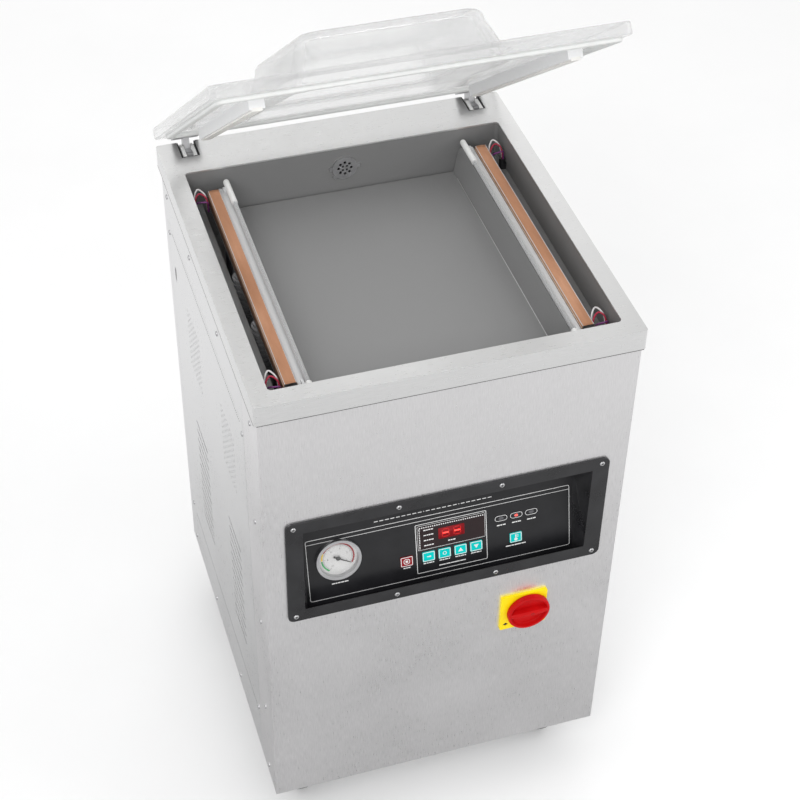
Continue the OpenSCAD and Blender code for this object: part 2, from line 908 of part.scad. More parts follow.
// Cable gland for the mains lead: its bore is where a cable enters
module mains_gland() {
    back = half_d + sheet;
    nut_t = 7;
    color([0.15, 0.15, 0.15]) translate([gland_at[0], 0, gland_at[1]]) difference() {
        union() {
            for (y = [half_d - nut_t, back])
                translate([0, y, 0]) rotate([-90, 0, 0]) cylinder(h = nut_t, r = 12, $fn = 6);
            translate([0, half_d - 12, 0]) along_y(16, gland_thread_r);
            translate([0, back + nut_t, 0]) along_y(13, gland_thread_r + 2);
        }
        translate([0, half_d - 20, 0]) along_y(60, gland_bore_r);
    }
}

module vacuum_pump() {
    body_half = 68;
    color("steelblue") {
        difference() {
            union() {
                span([pump_x - body_half, 140, 112], [pump_x + body_half, 256, 286]);
                translate([pump_x, hose_y, 286]) cylinder(h = 16, r = 13);
                span([pump_x + body_half, 150, 130], [pump_x + body_half + 110, 250, 270]);
                for (x = [-50, 50]) span([pump_x + x - 12, 150, floor_top], [pump_x + x + 12, 246, 112]);
            }
            translate([pump_x, hose_y, 260]) cylinder(h = 60, r = 9);
            for (x = [pump_x + body_half + 20 : 15 : pump_x + body_half + 100])
                span([x, 140, 256], [x + 6, 260, 280]);
        }
        translate([pump_x + 30, 134, 160]) along_y(6, 14);
    }
}

module pump_motor() {
    length = -motor_end - 70;
    color("slategray") difference() {
        union() {
            translate([motor_end, pump_y, motor_z]) rotate([0, 90, 0]) cylinder(h = length, r = motor_r - 4);
            for (a = [0 : 15 : 345])
                translate([motor_end + 40, pump_y, motor_z]) rotate([a, 0, 0])
                    span([0, -1.2, motor_r - 6], [length - 50, 1.2, motor_r]);
            span([motor_end + 50, pump_y - 40, floor_top], [-90, pump_y + 40, motor_z - 45]);
            span([-150, pump_y - 25, motor_z + 50], [-95, pump_y + 25, motor_z + 82]);
        }
        translate([motor_end - 1, pump_y, motor_z]) rotate([0, 90, 0]) cylinder(h = 31, r = motor_r - 7);
        translate([motor_end + 25, pump_y, motor_z]) rotate([0, 90, 0]) cylinder(h = 25, r = 6 + pin_gap);
    }
}

module motor_fan() {
    blade_l = 38;
    color("black") translate([motor_end + 8, pump_y, motor_z]) {
        rotate([0, 90, 0]) cylinder(h = 14, r = 12);
        rotate([0, 90, 0]) cylinder(h = 38, r = 6);
        for (a = [0 : 60 : 300])
            rotate([a, 0, 0]) span([1, -1.5, 10], [13, 1.5, 10 + blade_l]);
    }
}

module suction_hose() {
    bend = 22;
    top = port_z - bend;
    color([0.2, 0.2, 0.22]) {
        translate([0, hose_y, 302]) difference() {
            cylinder(h = top - 302, r = hose_r);
            translate([0, 0, -1]) cylinder(h = top - 300, r = hose_r - 4);
        }
        translate([0, hose_y - bend, top]) rotate([90, 0, 90]) rotate_extrude(angle = 90) translate([bend, 0])
            difference() {
                circle(hose_r);
                circle(hose_r - 4);
            }
        translate([0, chamber_back + tub_t, port_z]) difference() {
            along_y(hose_y - bend - chamber_back - tub_t, hose_r);
            translate([0, -1, 0]) along_y(40, hose_r - 4);
        }
    }
}

module transformer() {
    color("dimgray") translate([-140, -110, floor_top]) {
        difference() {
            span([-60, -35, 0], [60, 35, 100]);
            for (x = [-26, 26]) span([x - 14, -40, 22], [x + 14, 40, 78]);
        }
        for (y = [-48, 35]) span([-12, y, 24], [12, y + 13, 76]);
    }
}

module solenoid_valve() {
    color("peru") translate([140, -110, floor_top]) {
        span([-40, -25, 0], [40, 25, 40]);
        for (x = [-20, 20]) translate([x, 0, 40]) cylinder(h = 42, r = 14);
        translate([0, 25, 20]) along_y(14, 7);
    }
}

// ---------------------------------------------------------------- castors

function castor_at(name) =
    [name[1] == "l" ? -castor_x : castor_x, name[0] == "f" ? castor_front_y : castor_back_y];

module caster_plates() {
    color("silver") for (name = ["fl", "fr", "rl", "rr"]) translate(castor_at(name)) {
        span([-35, -32, fork_top], [35, 32, cabinet_z]);
        translate([0, 0, fork_top - 12]) cylinder(h = 12, r = kingpin_r);
    }
}

module caster_fork(name) {
    at = castor_at(name);
    outer = fork_half + fork_leg_t;
    crown = 79;
    color("silver") translate([at[0], at[1], 0]) {
        difference() {
            union() {
                translate([0, 0, crown]) cylinder(h = fork_top - 0.3 - crown, r = 22);
                span([-outer, 0, crown], [outer, castor_trail + 8, crown + 3]);
            }
            translate([0, 0, crown - 1]) cylinder(h = 20, r = kingpin_r + pin_gap);
        }
        for (s = [-1, 1]) translate([s * (fork_half + fork_leg_t / 2), 0, 0]) yz_profile(fork_leg_t)
            polygon([[8, crown + 3], [castor_trail + 8, crown + 3], [castor_trail + 9, 32],
                     [castor_trail - 9, 32]]);
        translate([0, castor_trail, wheel_r]) along_x(2 * outer + 4, axle_r);
    }
}

module caster_wheel(name) {
    at = castor_at(name);
    color([0.2, 0.2, 0.2]) translate([at[0], at[1] + castor_trail, wheel_r]) difference() {
        union() {
            along_x(wheel_w, wheel_r);
            along_x(2 * fork_half - 0.6, 10);
        }
        along_x(60, axle_r + pin_gap);
        for (s = [-1, 1]) translate([s * (wheel_w / 2 - 1), 0, 0]) difference() {
            along_x(4, wheel_r - 8);
            along_x(5, 13);
        }
    }
}

module caster_fork_fl() { caster_fork("fl"); }
module caster_fork_fr() { caster_fork("fr"); }
module caster_fork_rl() { caster_fork("rl"); }
module caster_fork_rr() { caster_fork("rr"); }
module caster_wheel_fl() { caster_wheel("fl"); }
module caster_wheel_fr() { caster_wheel("fr"); }
module caster_wheel_rl() { caster_wheel("rl"); }
module caster_wheel_rr() { caster_wheel("rr"); }

cabinet_frame();
front_panel();
left_side_cover();
right_side_cover();
rear_cover();
top_rim();
chamber_tub();
floor_tray();
clip_rails();
clip_springs();
clip_sleeves();
suction_grille();
lift_bellows();
heater_leads();
lead_glands();
hinge_clevises();
hinge_pins();
hinge_springs();
control_bezel();
control_face();
display_module();
gauge_case();
gauge_dial();
gauge_glass();
control_board();
main_switch();
panel_screws();
mains_gland();
vacuum_pump();
pump_motor();
suction_hose();
transformer();
solenoid_valve();
caster_plates();
lid_shell();
lid_gasket();
counter_bars();
counter_silicones();
hinge_arms();
seal_bar_left();
seal_tape_left();
seal_bar_right();
seal_tape_right();
switch_knob();
gauge_needle();
motor_fan();
stop_key();
menu_key();
set_key();
up_key();
down_key();
heat_key();
caster_fork_fl();
caster_fork_fr();
caster_fork_rl();
caster_fork_rr();
caster_wheel_fl();
caster_wheel_fr();
caster_wheel_rl();
caster_wheel_rr();
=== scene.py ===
"""Looks of the vacuum packing machine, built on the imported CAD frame.

Metres, +Z up, front at -Y. Places come from the frame; the sizes below are of the visible detail.
"""

import json
import math

import bmesh
import bpy
from mathutils import Matrix, Vector


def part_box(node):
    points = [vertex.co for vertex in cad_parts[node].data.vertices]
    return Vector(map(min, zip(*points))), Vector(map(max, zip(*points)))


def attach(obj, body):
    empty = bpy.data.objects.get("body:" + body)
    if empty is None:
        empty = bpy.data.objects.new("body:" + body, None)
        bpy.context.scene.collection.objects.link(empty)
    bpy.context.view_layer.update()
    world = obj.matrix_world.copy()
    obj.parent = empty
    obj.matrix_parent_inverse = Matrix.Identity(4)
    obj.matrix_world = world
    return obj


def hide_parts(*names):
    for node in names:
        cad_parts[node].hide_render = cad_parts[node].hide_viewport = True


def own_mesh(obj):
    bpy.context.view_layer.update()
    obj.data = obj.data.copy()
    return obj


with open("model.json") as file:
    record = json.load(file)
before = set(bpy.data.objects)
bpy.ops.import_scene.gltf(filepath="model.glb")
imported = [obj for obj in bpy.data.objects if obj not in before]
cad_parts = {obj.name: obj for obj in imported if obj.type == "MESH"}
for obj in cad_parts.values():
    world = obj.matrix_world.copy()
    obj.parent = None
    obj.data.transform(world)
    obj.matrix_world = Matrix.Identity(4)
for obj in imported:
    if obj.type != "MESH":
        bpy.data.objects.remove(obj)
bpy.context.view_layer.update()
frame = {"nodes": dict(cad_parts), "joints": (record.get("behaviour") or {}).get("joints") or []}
NODES = frame["nodes"]
JOINTS = {joint["name"]: joint for joint in frame["joints"]}
MM = 0.001
LID_T = 15.5 * MM        # thickness of the lid's flat plate
HERE = Matrix.Identity(4)


# ---- camera

def set_camera():
    """The viewing angle: from the front left, looking down on the open lid."""
    right = Vector((0.95414, -0.29900, 0.01460))
    up = Vector((0.19193, 0.64844, 0.73667))
    back = -Vector((0.22973, 0.70009, -0.67609))
    data = bpy.data.cameras.new("camera")
    data.lens = 80.44
    data.sensor_width = 36
    camera = bpy.data.objects.new("camera", data)
    rotation = Matrix((right, up, back)).transposed().to_4x4()
    camera.matrix_world = Matrix.Translation((-0.5512, -1.7439, 2.2385)) @ rotation
    bpy.context.collection.objects.link(camera)
    bpy.context.scene.camera = camera


# ---- materials

def set_stops(ramp, stops):
    """Sets the stops of a colour ramp, a list of (position, (r, g, b))."""
    elements = ramp.color_ramp.elements
    while len(elements) < len(stops):
        elements.new(0.5)
    for element, (position, colour) in zip(elements, stops):
        element.position = position
        element.color = (*colour, 1)


class Finish:
    """A procedural material on object coordinates: noise drives its colour, roughness and relief."""

    def __init__(self, name, rough=0.4, metal=0.0):
        self.material = bpy.data.materials.new(name)
        self.material.use_nodes = True
        self.tree = self.material.node_tree
        self.shader = self.tree.nodes["Principled BSDF"]
        self.shader.inputs["Roughness"].default_value = rough
        self.shader.inputs["Metallic"].default_value = metal
        self.height = None
        self.coords = self.tree.nodes.new("ShaderNodeTexCoord").outputs["Object"]

    def node(self, kind, **inputs):
        """A node of that kind with its inputs set or linked; an underscore in a name is a space."""
        made = self.tree.nodes.new(kind)
        for name, value in inputs.items():
            target = made.inputs[name.replace("_", " ")]
            if isinstance(value, bpy.types.NodeSocket):
                self.tree.links.new(value, target)
            else:
                target.default_value = value
        return made

    def noise(self, scale, stretch=(1, 1, 1), detail=4.0, rough=0.55):
        mapped = self.node("ShaderNodeMapping", Vector=self.coords, Scale=stretch).outputs[0]
        made = self.node("ShaderNodeTexNoise", Vector=mapped, Scale=scale, Detail=detail, Roughness=rough)
        return made.outputs["Fac"]

    def waves(self, scale, direction):
        made = self.node("ShaderNodeTexWave", Vector=self.coords, Scale=scale)
        made.bands_direction = direction
        return made.outputs["Fac"]

    def math(self, operation, a, b):
        made = self.tree.nodes.new("ShaderNodeMath")
        made.operation = operation
        for slot_number, value in enumerate((a, b)):
            if isinstance(value, bpy.types.NodeSocket):
                self.tree.links.new(value, made.inputs[slot_number])
            else:
                made.inputs[slot_number].default_value = value
        return made.outputs[0]

    def ramp(self, factor, stops):
        made = self.node("ShaderNodeValToRGB", Fac=factor)
        set_stops(made, stops)
        return made.outputs["Color"]

    def spread(self, factor, low, high):
        ends = {"From_Min": 0.3, "From_Max": 0.7, "To_Min": low, "To_Max": high}
        return self.node("ShaderNodeMapRange", Value=factor, **ends).outputs[0]

    def colour(self, output):
        self.tree.links.new(output, self.shader.inputs["Base Color"])

    def roughness(self, output):
        self.tree.links.new(output, self.shader.inputs["Roughness"])

    def relief(self, height, strength=0.2, distance=0.0005):
        made = self.node("ShaderNodeBump", Height=height, Strength=strength, Distance=distance)
        if self.height is not None:
            self.tree.links.new(self.height, made.inputs["Normal"])
        self.height = made.outputs[0]
        self.tree.links.new(self.height, self.shader.inputs["Normal"])

    def set(self, name, value):
        self.shader.inputs[name].default_value = value


def shades(colour, amount):
    """A darker and a lighter version of a colour."""
    return [tuple(max(0, min(1, c * k)) for c in colour) for k in (1 - amount, 1 + amount)]


def brushed(name, colour, grain, rough, metal, depth, amount):
    """Brushed sheet: long fine scratches; grain is the stretch that runs them along an axis."""
    streak = 0.10
    finish = Finish(name, rough, metal)
    scratches = finish.noise(900, grain, detail=3, rough=0.6)
    clouds = finish.noise(7, detail=3)
    mixed = finish.math("ADD", finish.math("MULTIPLY", scratches, 0.75),
                        finish.math("MULTIPLY", clouds, 0.25))
    dark, light = shades(colour, amount)
    finish.colour(finish.ramp(mixed, [(0.32, dark), (0.68, light)]))
    finish.roughness(finish.spread(mixed, rough - streak, rough + streak))
    finish.relief(scratches, depth, 0.0002)
    return finish.material


def rim_steel():
    """Brushed steel with painted light: its upward-facing top is painted a darker grey and its upright folded
    skirt a lighter grey, for how the light falls on them.
    """
    finish = Finish("rim_steel", 0.34, 0.8)
    scratches = finish.noise(900, (0.06, 1, 1), detail=3, rough=0.6)
    clouds = finish.noise(7, detail=3)
    mixed = finish.math("ADD", finish.math("MULTIPLY", scratches, 0.3), finish.math("MULTIPLY", clouds, 0.1))
    upright = finish.node("ShaderNodeSeparateXYZ",
                          Vector=finish.tree.nodes.new("ShaderNodeNewGeometry").outputs["Normal"])
    # Painted shade by facing: the more a face points up, the further it is pushed onto the darker greys of
    # the ramp.
    top_shade_mask = finish.math("MULTIPLY", finish.math("ABSOLUTE", upright.outputs["Z"], 0), 0.6)
    finish.colour(finish.ramp(finish.math("ADD", mixed, top_shade_mask),
                              [(0.13, (0.78, 0.78, 0.78)), (0.27, (0.86, 0.86, 0.86)),
                               (0.73, (0.565, 0.565, 0.562)), (0.87, (0.605, 0.605, 0.602))]))
    finish.roughness(finish.spread(scratches, 0.26, 0.42))
    finish.relief(scratches, 0.06, 0.0002)
    return finish.material


def moulded(name, colour, rough=0.4, grain=1400, depth=0.08, amount=0.08, coat=0.0, gloss=0.5):
    """Moulded plastic or rubber: fine even grain and slow colour drift."""
    finish = Finish(name, rough)
    fine = finish.noise(grain, detail=2)
    slow = finish.noise(30, detail=3)
    dark, light = shades(colour, amount)
    finish.colour(finish.ramp(slow, [(0.3, dark), (0.7, light)]))
    finish.roughness(finish.spread(slow, rough - 0.06, rough + 0.08))
    finish.relief(fine, depth, 0.0002)
    finish.set("Coat Weight", coat)
    finish.set("Specular IOR Level", gloss)
    return finish.material


def bright(name, colour, rough=0.22, amount=0.06):
    """Turned, drawn or plated metal with faint tarnish."""
    finish = Finish(name, rough, 1.0)
    tarnish = finish.noise(120, detail=5)
    dark, light = shades(colour, amount)
    finish.colour(finish.ramp(tarnish, [(0.3, dark), (0.7, light)]))
    finish.roughness(finish.spread(tarnish, rough - 0.07, rough + 0.12))
    finish.relief(finish.noise(1800, detail=2), 0.05, 0.0002)
    return finish.material


def painted(name, colour, rough=0.45):
    """Cast metal under thick paint: orange-peel relief and dusty patches."""
    finish = Finish(name, rough)
    dust = finish.noise(16, detail=6, rough=0.65)
    dark, light = shades(colour, 0.16)
    finish.colour(finish.ramp(dust, [(0.3, dark), (0.75, light)]))
    finish.roughness(finish.spread(dust, rough - 0.1, rough + 0.2))
    finish.relief(finish.noise(260, detail=3), 0.25, 0.0006)
    return finish.material


def thick_acrylic():
    """Thick clear sheet: see-through face on, milky where the eye grazes it, with faint handling marks."""
    finish = Finish("acrylic", 0.1)
    wipe = finish.noise(9, (1, 2.5, 1), detail=5)
    finish.colour(finish.ramp(wipe, [(0.3, (0.90, 0.905, 0.905)), (0.7, (0.96, 0.962, 0.962))]))
    finish.roughness(finish.spread(wipe, 0.05, 0.18))
    finish.relief(finish.noise(14, detail=2), 0.06, 0.001)
    graze = finish.node("ShaderNodeLayerWeight", Blend=0.42).outputs["Facing"]
    milk = finish.node("ShaderNodeMapRange", Value=graze, To_Min=0.26, To_Max=0.90)
    finish.tree.links.new(milk.outputs[0], finish.shader.inputs["Alpha"])
    finish.set("Transmission Weight", 0.55)
    finish.set("IOR", 1.45)
    return finish.material


def window_glass():
    """A thin flat window: nearly all see-through, with a glossy skin and a few dusty patches."""
    finish = Finish("window_glass", 0.06)
    dust = finish.noise(40, detail=6)
    finish.colour(finish.ramp(dust, [(0.3, (0.80, 0.82, 0.82)), (0.8, (0.95, 0.95, 0.95))]))
    finish.roughness(finish.spread(dust, 0.03, 0.14))
    finish.set("Alpha", 0.05)
    return finish.material


def non_stick_tape():
    """Coated glass cloth, brown, with its weave showing through and rubbed lighter patches."""
    finish = Finish("non_stick_tape", 0.42)
    across = finish.waves(420, "X")
    along = finish.waves(420, "Y")
    weave = finish.math("MULTIPLY", across, along)
    wear = finish.noise(26, (1, 0.35, 1), detail=5)
    finish.colour(finish.ramp(wear, [(0.3, (0.36, 0.165, 0.085)), (0.55, (0.46, 0.225, 0.125)),
                                     (0.8, (0.58, 0.31, 0.19))]))
    finish.roughness(finish.spread(wear, 0.36, 0.55))
    finish.relief(weave, 0.30, 0.00015)
    finish.relief(finish.noise(45, (1, 0.2, 1)), 0.25, 0.0006)
    finish.set("Specular IOR Level", 0.2)
    return finish.material


def glowing(name, colour, strength):
    """A lit lens or segment, slightly uneven."""
    finish = Finish(name, 0.3)
    uneven = finish.noise(300, detail=2)
    dark, light = shades(colour, 0.15)
    shade = finish.ramp(uneven, [(0.3, dark), (0.7, light)])
    finish.colour(shade)
    finish.tree.links.new(shade, finish.shader.inputs["Emission Color"])
    finish.set("Emission Strength", strength)
    return finish.material


# Brushed sheets: colour, grain, roughness, metal, relief and colour drift.
BRUSHED = {
    "front_steel": ((0.865, 0.857, 0.865), (1, 1, 0.08), 0.34, 0.85, 0.06, 0.07),
    "side_steel": ((0.84, 0.84, 0.845), (1, 1, 0.08), 0.34, 0.85, 0.05, 0.05),
    "chamber_steel": ((0.265, 0.265, 0.265), (0.05, 0.05, 1), 0.52, 0.35, 0.05, 0.04),
    "tray_steel": ((0.275, 0.275, 0.275), (1, 0.05, 1), 0.58, 0.25, 0.04, 0.035),
    "pale_alloy": ((0.84, 0.845, 0.85), (1, 0.05, 1), 0.5, 0.15, 0.05, 0.04),
    "rail_steel": ((0.60, 0.605, 0.61), (1, 0.05, 1), 0.42, 0.3, 0.05, 0.06),
    "coil_wire": ((0.66, 0.665, 0.67), (1, 1, 1), 0.46, 0.3, 0.03, 0.05),
}

# Plastic, rubber, film and print: colour, roughness, grain, relief, colour drift, coat and gloss.
MOULDED = {
    "white_plastic": ((0.80, 0.80, 0.79), 0.42),
    "black_plastic": ((0.018, 0.018, 0.02), 0.30, 1600, 0.10, 0.25, 0.15),
    "face_film": ((0.014, 0.014, 0.016), 0.34, 2600, 0.05, 0.25, 0.0, 0.36),
    "window_film": ((0.016, 0.006, 0.007), 0.30, 1600, 0.03, 0.2, 0.0, 0.36),
    "teal_film": ((0.004, 0.60, 0.57), 0.5, 1800, 0.04, 0.08, 0.0, 0.04),
    "white_print": ((0.84, 0.84, 0.84), 0.5, 2200, 0.05, 0.05),
    "red_print": ((0.62, 0.02, 0.02), 0.45, 2200, 0.05, 0.08, 0.0, 0.2),
    "maroon_print": ((0.30, 0.01, 0.015), 0.45, 2200, 0.05, 0.08, 0.0, 0.2),
    "yellow_print": ((0.80, 0.55, 0.03), 0.45, 2200, 0.05, 0.08),
    "green_print": ((0.03, 0.36, 0.10), 0.45, 2200, 0.05, 0.08),
    "dial_paint": ((0.64, 0.635, 0.63), 0.45, 900, 0.06, 0.04),
    # Black print and paint on the dial, needle and marks, and painted shade where it fills screw sockets,
    # vent dots and the knob's lock hole.
    "black_paint": ((0.01, 0.01, 0.01), 0.4, 900, 0.05, 0.3),
    "dim_lens": ((0.10, 0.10, 0.11), 0.2, 900, 0.03, 0.2, 0.4),
    "switch_yellow": ((0.95, 0.74, 0.004), 0.36, 1200, 0.06, 0.06, 0.0, 0.2),
    "switch_red": ((0.52, 0.003, 0.004), 0.38, 1200, 0.05, 0.10, 0.0, 0.14),
    "cream_tape": ((0.72, 0.62, 0.50), 0.5, 900, 0.15, 0.10),
    "silicone": ((0.84, 0.83, 0.80), 0.5, 900, 0.12, 0.06),
    "gasket": ((0.74, 0.75, 0.74), 0.45, 800, 0.10, 0.05),
    # Painted shade: the dark gap under the rim's skirt and the dark inside seen through the side vents.
    "seal_rubber": ((0.05, 0.05, 0.05), 0.6, 700, 0.2, 0.25),
    "bellows": ((0.30, 0.30, 0.305), 0.5, 700, 0.2, 0.12),
    "lead_red": ((0.42, 0.015, 0.05), 0.38, 900, 0.10, 0.15),
    "lead_purple": ((0.16, 0.03, 0.16), 0.38, 900, 0.10, 0.15),
    "lead_white": ((0.72, 0.70, 0.70), 0.38, 900, 0.10, 0.06),
    "hose": ((0.02, 0.02, 0.022), 0.45, 700, 0.2, 0.25),
    "tyre": ((0.05, 0.05, 0.052), 0.55, 500, 0.25, 0.25),
    "hub": ((0.34, 0.34, 0.35), 0.42, 900, 0.12, 0.1),
    "board": ((0.02, 0.16, 0.06), 0.35, 900, 0.10, 0.2),
}

# Turned, drawn or plated metal: colour, roughness and colour drift.
BRIGHT = {
    "alloy": ((0.56, 0.56, 0.57), 0.38),
    "wire": ((0.62, 0.62, 0.63), 0.24),
    "zinc": ((0.58, 0.59, 0.61), 0.38, 0.14),
    "brass": ((0.70, 0.50, 0.22), 0.3, 0.12),
}

# Painted castings: colour.
PAINTED = {
    "iron": ((0.10, 0.10, 0.10),),
    "pump": ((0.10, 0.17, 0.25),),
    "motor": ((0.13, 0.17, 0.21),),
}


def make_materials():
    """Every material of the machine, by a short name."""
    made = {}
    for make, table in ((brushed, BRUSHED), (moulded, MOULDED), (bright, BRIGHT), (painted, PAINTED)):
        for name, values in table.items():
            made[name] = make(name, *values)
    made["rim_steel"] = rim_steel()
    made["lit_red"] = glowing("lit_red", (1.0, 0.04, 0.03), 3.0)
    made["tape"] = non_stick_tape()
    made["acrylic"] = thick_acrylic()
    made["glass"] = window_glass()
    return made


M = make_materials()


# ---- mesh helpers

def to_object(name, mesh, material, smooth=True):
    """Wraps a bmesh or mesh in an object with that material."""
    if isinstance(mesh, bmesh.types.BMesh):
        bmesh.ops.recalc_face_normals(mesh, faces=mesh.faces)
        data = bpy.data.meshes.new(name)
        mesh.to_mesh(data)
        mesh.free()
        mesh = data
    made = bpy.data.objects.new(name, mesh)
    bpy.context.collection.objects.link(made)
    made.data.materials.append(M[material])
    for polygon in made.data.polygons:
        polygon.use_smooth = smooth
    return made


def bevel(piece, width):
    edges = piece.modifiers.new("edges", "BEVEL")
    edges.width = width
    edges.segments = 2
    edges.limit_method = "ANGLE"
    edges.angle_limit = math.radians(30)
    edges.harden_normals = True


def split_edges(piece, angle):
    """Keeps edges sharper than the angle, in degrees, crisp in a smooth piece."""
    piece.modifiers.new("edges", "EDGE_SPLIT").split_angle = math.radians(angle)


def soften(piece, width):
    """Rounds a piece's sharp edges a little, so that they catch the light."""
    flat = piece.modifiers.new("flat", "DECIMATE")
    flat.decimate_type = "DISSOLVE"
    flat.angle_limit = math.radians(0.5)
    bevel(piece, width)
    even = piece.modifiers.new("even_faces", "WEIGHTED_NORMAL")
    even.mode = "FACE_AREA"
    even.weight = 100
    for polygon in piece.data.polygons:
        polygon.use_smooth = True


def ring(centre, half_w, half_d, radius, z, steps=8):
    """Points round a rounded rectangle at height z, anticlockwise from above."""
    points = []
    corners = [(1, -1, -90), (1, 1, 0), (-1, 1, 90), (-1, -1, 180)]
    for sx, sy, start in corners:
        cx = centre[0] + sx * (half_w - radius)
        cy = centre[1] + sy * (half_d - radius)
        for i in range(steps + 1):
            a = math.radians(start + 90 * i / steps)
            points.append(Vector((cx + radius * math.cos(a), cy + radius * math.sin(a), z)))
    return points


def loft(mesh, rings, cap_start=True, cap_end=True):
    """Skins a list of equally long point rings."""
    rows = [[mesh.verts.new(p) for p in points] for points in rings]
    count = len(rows[0])
    for a, b in zip(rows, rows[1:]):
        for i in range(count):
            j = (i + 1) % count
            mesh.faces.new((a[i], a[j], b[j], b[i]))
    if cap_start:
        mesh.faces.new(rows[0][::-1])
    if cap_end:
        mesh.faces.new(rows[-1])


def lathe(mesh, profile, matrix=HERE, segments=48, capped=True):
    """Turns a profile of (radius, height) points about the local Z axis of matrix."""
    rings = []
    for radius, height in profile:
        points = []
        for i in range(segments):
            a = 2 * math.pi * i / segments
            points.append(matrix @ Vector((radius * math.cos(a), radius * math.sin(a), height)))
        rings.append(points)
    loft(mesh, rings, cap_start=capped and profile[0][0] > 0, cap_end=capped and profile[-1][0] > 0)
    bmesh.ops.remove_doubles(mesh, verts=mesh.verts, dist=1e-7)


def tube(mesh, path, radius, sides=8):
    """A round rod along a list of points, with closed ends."""
    rings = []
    normal = None
    for i, point in enumerate(path):
        ahead = path[min(i + 1, len(path) - 1)] - path[max(i - 1, 0)]
        ahead.normalize()
        if normal is None:
            seed = Vector((0, 0, 1)) if abs(ahead.z) < 0.9 else Vector((1, 0, 0))
            normal = ahead.cross(seed).normalized()
        normal = (normal - ahead * normal.dot(ahead)).normalized()
        side = ahead.cross(normal)
        rings.append([point + radius * (math.cos(a) * normal + math.sin(a) * side)
                      for a in (2 * math.pi * k / sides for k in range(sides))])
    loft(mesh, rings)


def helix(start, end, radius, turns, steps):
    """Points of a coil wound from start to end."""
    axis = (end - start).normalized()
    across = axis.orthogonal().normalized()
    other = axis.cross(across)
    count = int(turns * steps)
    points = []
    for i in range(count + 1):
        a = 2 * math.pi * i / steps
        points.append(start.lerp(end, i / count) + radius * (math.cos(a) * across + math.sin(a) * other))
    return points


def smooth_path(points, steps=8):
    """A Catmull-Rom curve through points."""
    path = []
    padded = [points[0]] + points + [points[-1]]
    for a, b, c, d in zip(padded, padded[1:], padded[2:], padded[3:]):
        for i in range(steps):
            t = i / steps
            path.append(0.5 * (2 * b + (c - a) * t + (2 * a - 5 * b + 4 * c - d) * t ** 2
                               + (3 * b - a - 3 * c + d) * t ** 3))
    path.append(points[-1])
    return path


def block(mesh, lo, hi, matrix=HERE):
    """Adds a box between two corners."""
    corners = [matrix @ Vector((x, y, z))
               for z in (lo[2], hi[2]) for y in (lo[1], hi[1]) for x in (lo[0], hi[0])]
    v = [mesh.verts.new(c) for c in corners]
    for face in ((0, 2, 3, 1), (4, 5, 7, 6), (0, 1, 5, 4), (2, 6, 7, 3), (0, 4, 6, 2), (1, 3, 7, 5)):
        mesh.faces.new([v[i] for i in face])


def plate(mesh, outline, thickness, matrix=HERE):
    """Adds a flat plate: outline points (x, y), from local z = 0 to the thickness."""
    rings = [[matrix @ Vector((x, y, z)) for x, y in outline] for z in (0, thickness)]
    loft(mesh, rings)


def rounded(w, h, r):
    """Outline of a rounded rectangle in millimetres, as (x, y) points."""
    return [(p.x, p.y) for p in ring((0, 0), w * MM / 2, h * MM / 2, r * MM, 0, 5)]


def bounds(points):
    """Lowest and highest corner of some points."""
    return [Vector([pick(p[k] for p in points) for k in range(3)]) for pick in (min, max)]


def islands(node):
    """Boxes (lowest, highest corner) of a CAD node's separate solids."""
    mesh = bmesh.new()
    mesh.from_mesh(NODES[node].data)
    bmesh.ops.remove_doubles(mesh, verts=mesh.verts, dist=1e-6)
    seen = set()
    boxes = []
    for start in mesh.verts:
        if start in seen:
            continue
        seen.add(start)
        stack = [start]
        found = []
        while stack:
            vertex = stack.pop()
            found.append(vertex.co)
            for edge in vertex.link_edges:
                other = edge.other_vert(vertex)
                if other not in seen:
                    seen.add(other)
                    stack.append(other)
        boxes.append(bounds(found))
    mesh.free()
    return boxes


def mm(points):
    """Pairs given in millimetres, as metres."""
    return [(a * MM, b * MM) for a, b in points]


def middle(node):
    low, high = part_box(node)
    return (low + high) / 2


def paint(material, *nodes):
    """Gives CAD nodes a material."""
    for name in nodes:
        data = NODES[name].data
        data.materials.clear()
        data.materials.append(M[material])


def dress(material, width, *nodes):
    """Gives CAD nodes a material and softly rounded edges."""
    paint(material, *nodes)
    for name in nodes:
        soften(NODES[name], width)


# ---- cabinet

def cabinet():
    dress("front_steel", 0.0007, "front_panel")
    dress("side_steel", 0.0003, "left_side_cover", "right_side_cover", "cabinet_frame", "rear_cover")
    dress("rim_steel", 0.0008, "top_rim")
    seam_dots()
    skirt_gap_shade()
    vent_shade_sheets()
    screw_heads()


def vent_shade_sheets():
    """A thin dark sheet just inside each perforated field of the side covers: painted shade that shows
    through the holes.
    """
    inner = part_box("left_side_cover")[1].x
    field_z = 612 * MM
    half_w = 42 * MM
    half_h = 57 * MM
    gap = 0.3 * MM
    thick = 0.5 * MM
    mesh = bmesh.new()
    for y in (115 * MM, -86 * MM):
        for x in (inner + gap, -inner - gap - thick):
            block(mesh, (x, y - half_w, field_z - half_h), (x + thick, y + half_w, field_z + half_h))
    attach(to_object("vent_shade_sheets", mesh, "seal_rubber", smooth=False), "cabinet")


def skirt_gap_shade():
    """A thin dark strip along the foot of the rim's skirt, at the front and sides: painted shade of the gap
    between the skirt and the panels below it.
    """
    low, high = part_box("top_rim")
    out = 0.12 * MM
    corner = 3 * MM
    tall = 0.8 * MM
    mesh = bmesh.new()
    block(mesh, (low.x + corner, low.y - out, low.z), (high.x - corner, low.y, low.z + tall))
    for x in (low.x - out, high.x):
        block(mesh, (x, low.y + corner, low.z), (x + out, high.y - corner, low.z + tall))
    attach(to_object("skirt_gap_shade", mesh, "seal_rubber", smooth=False), "cabinet")


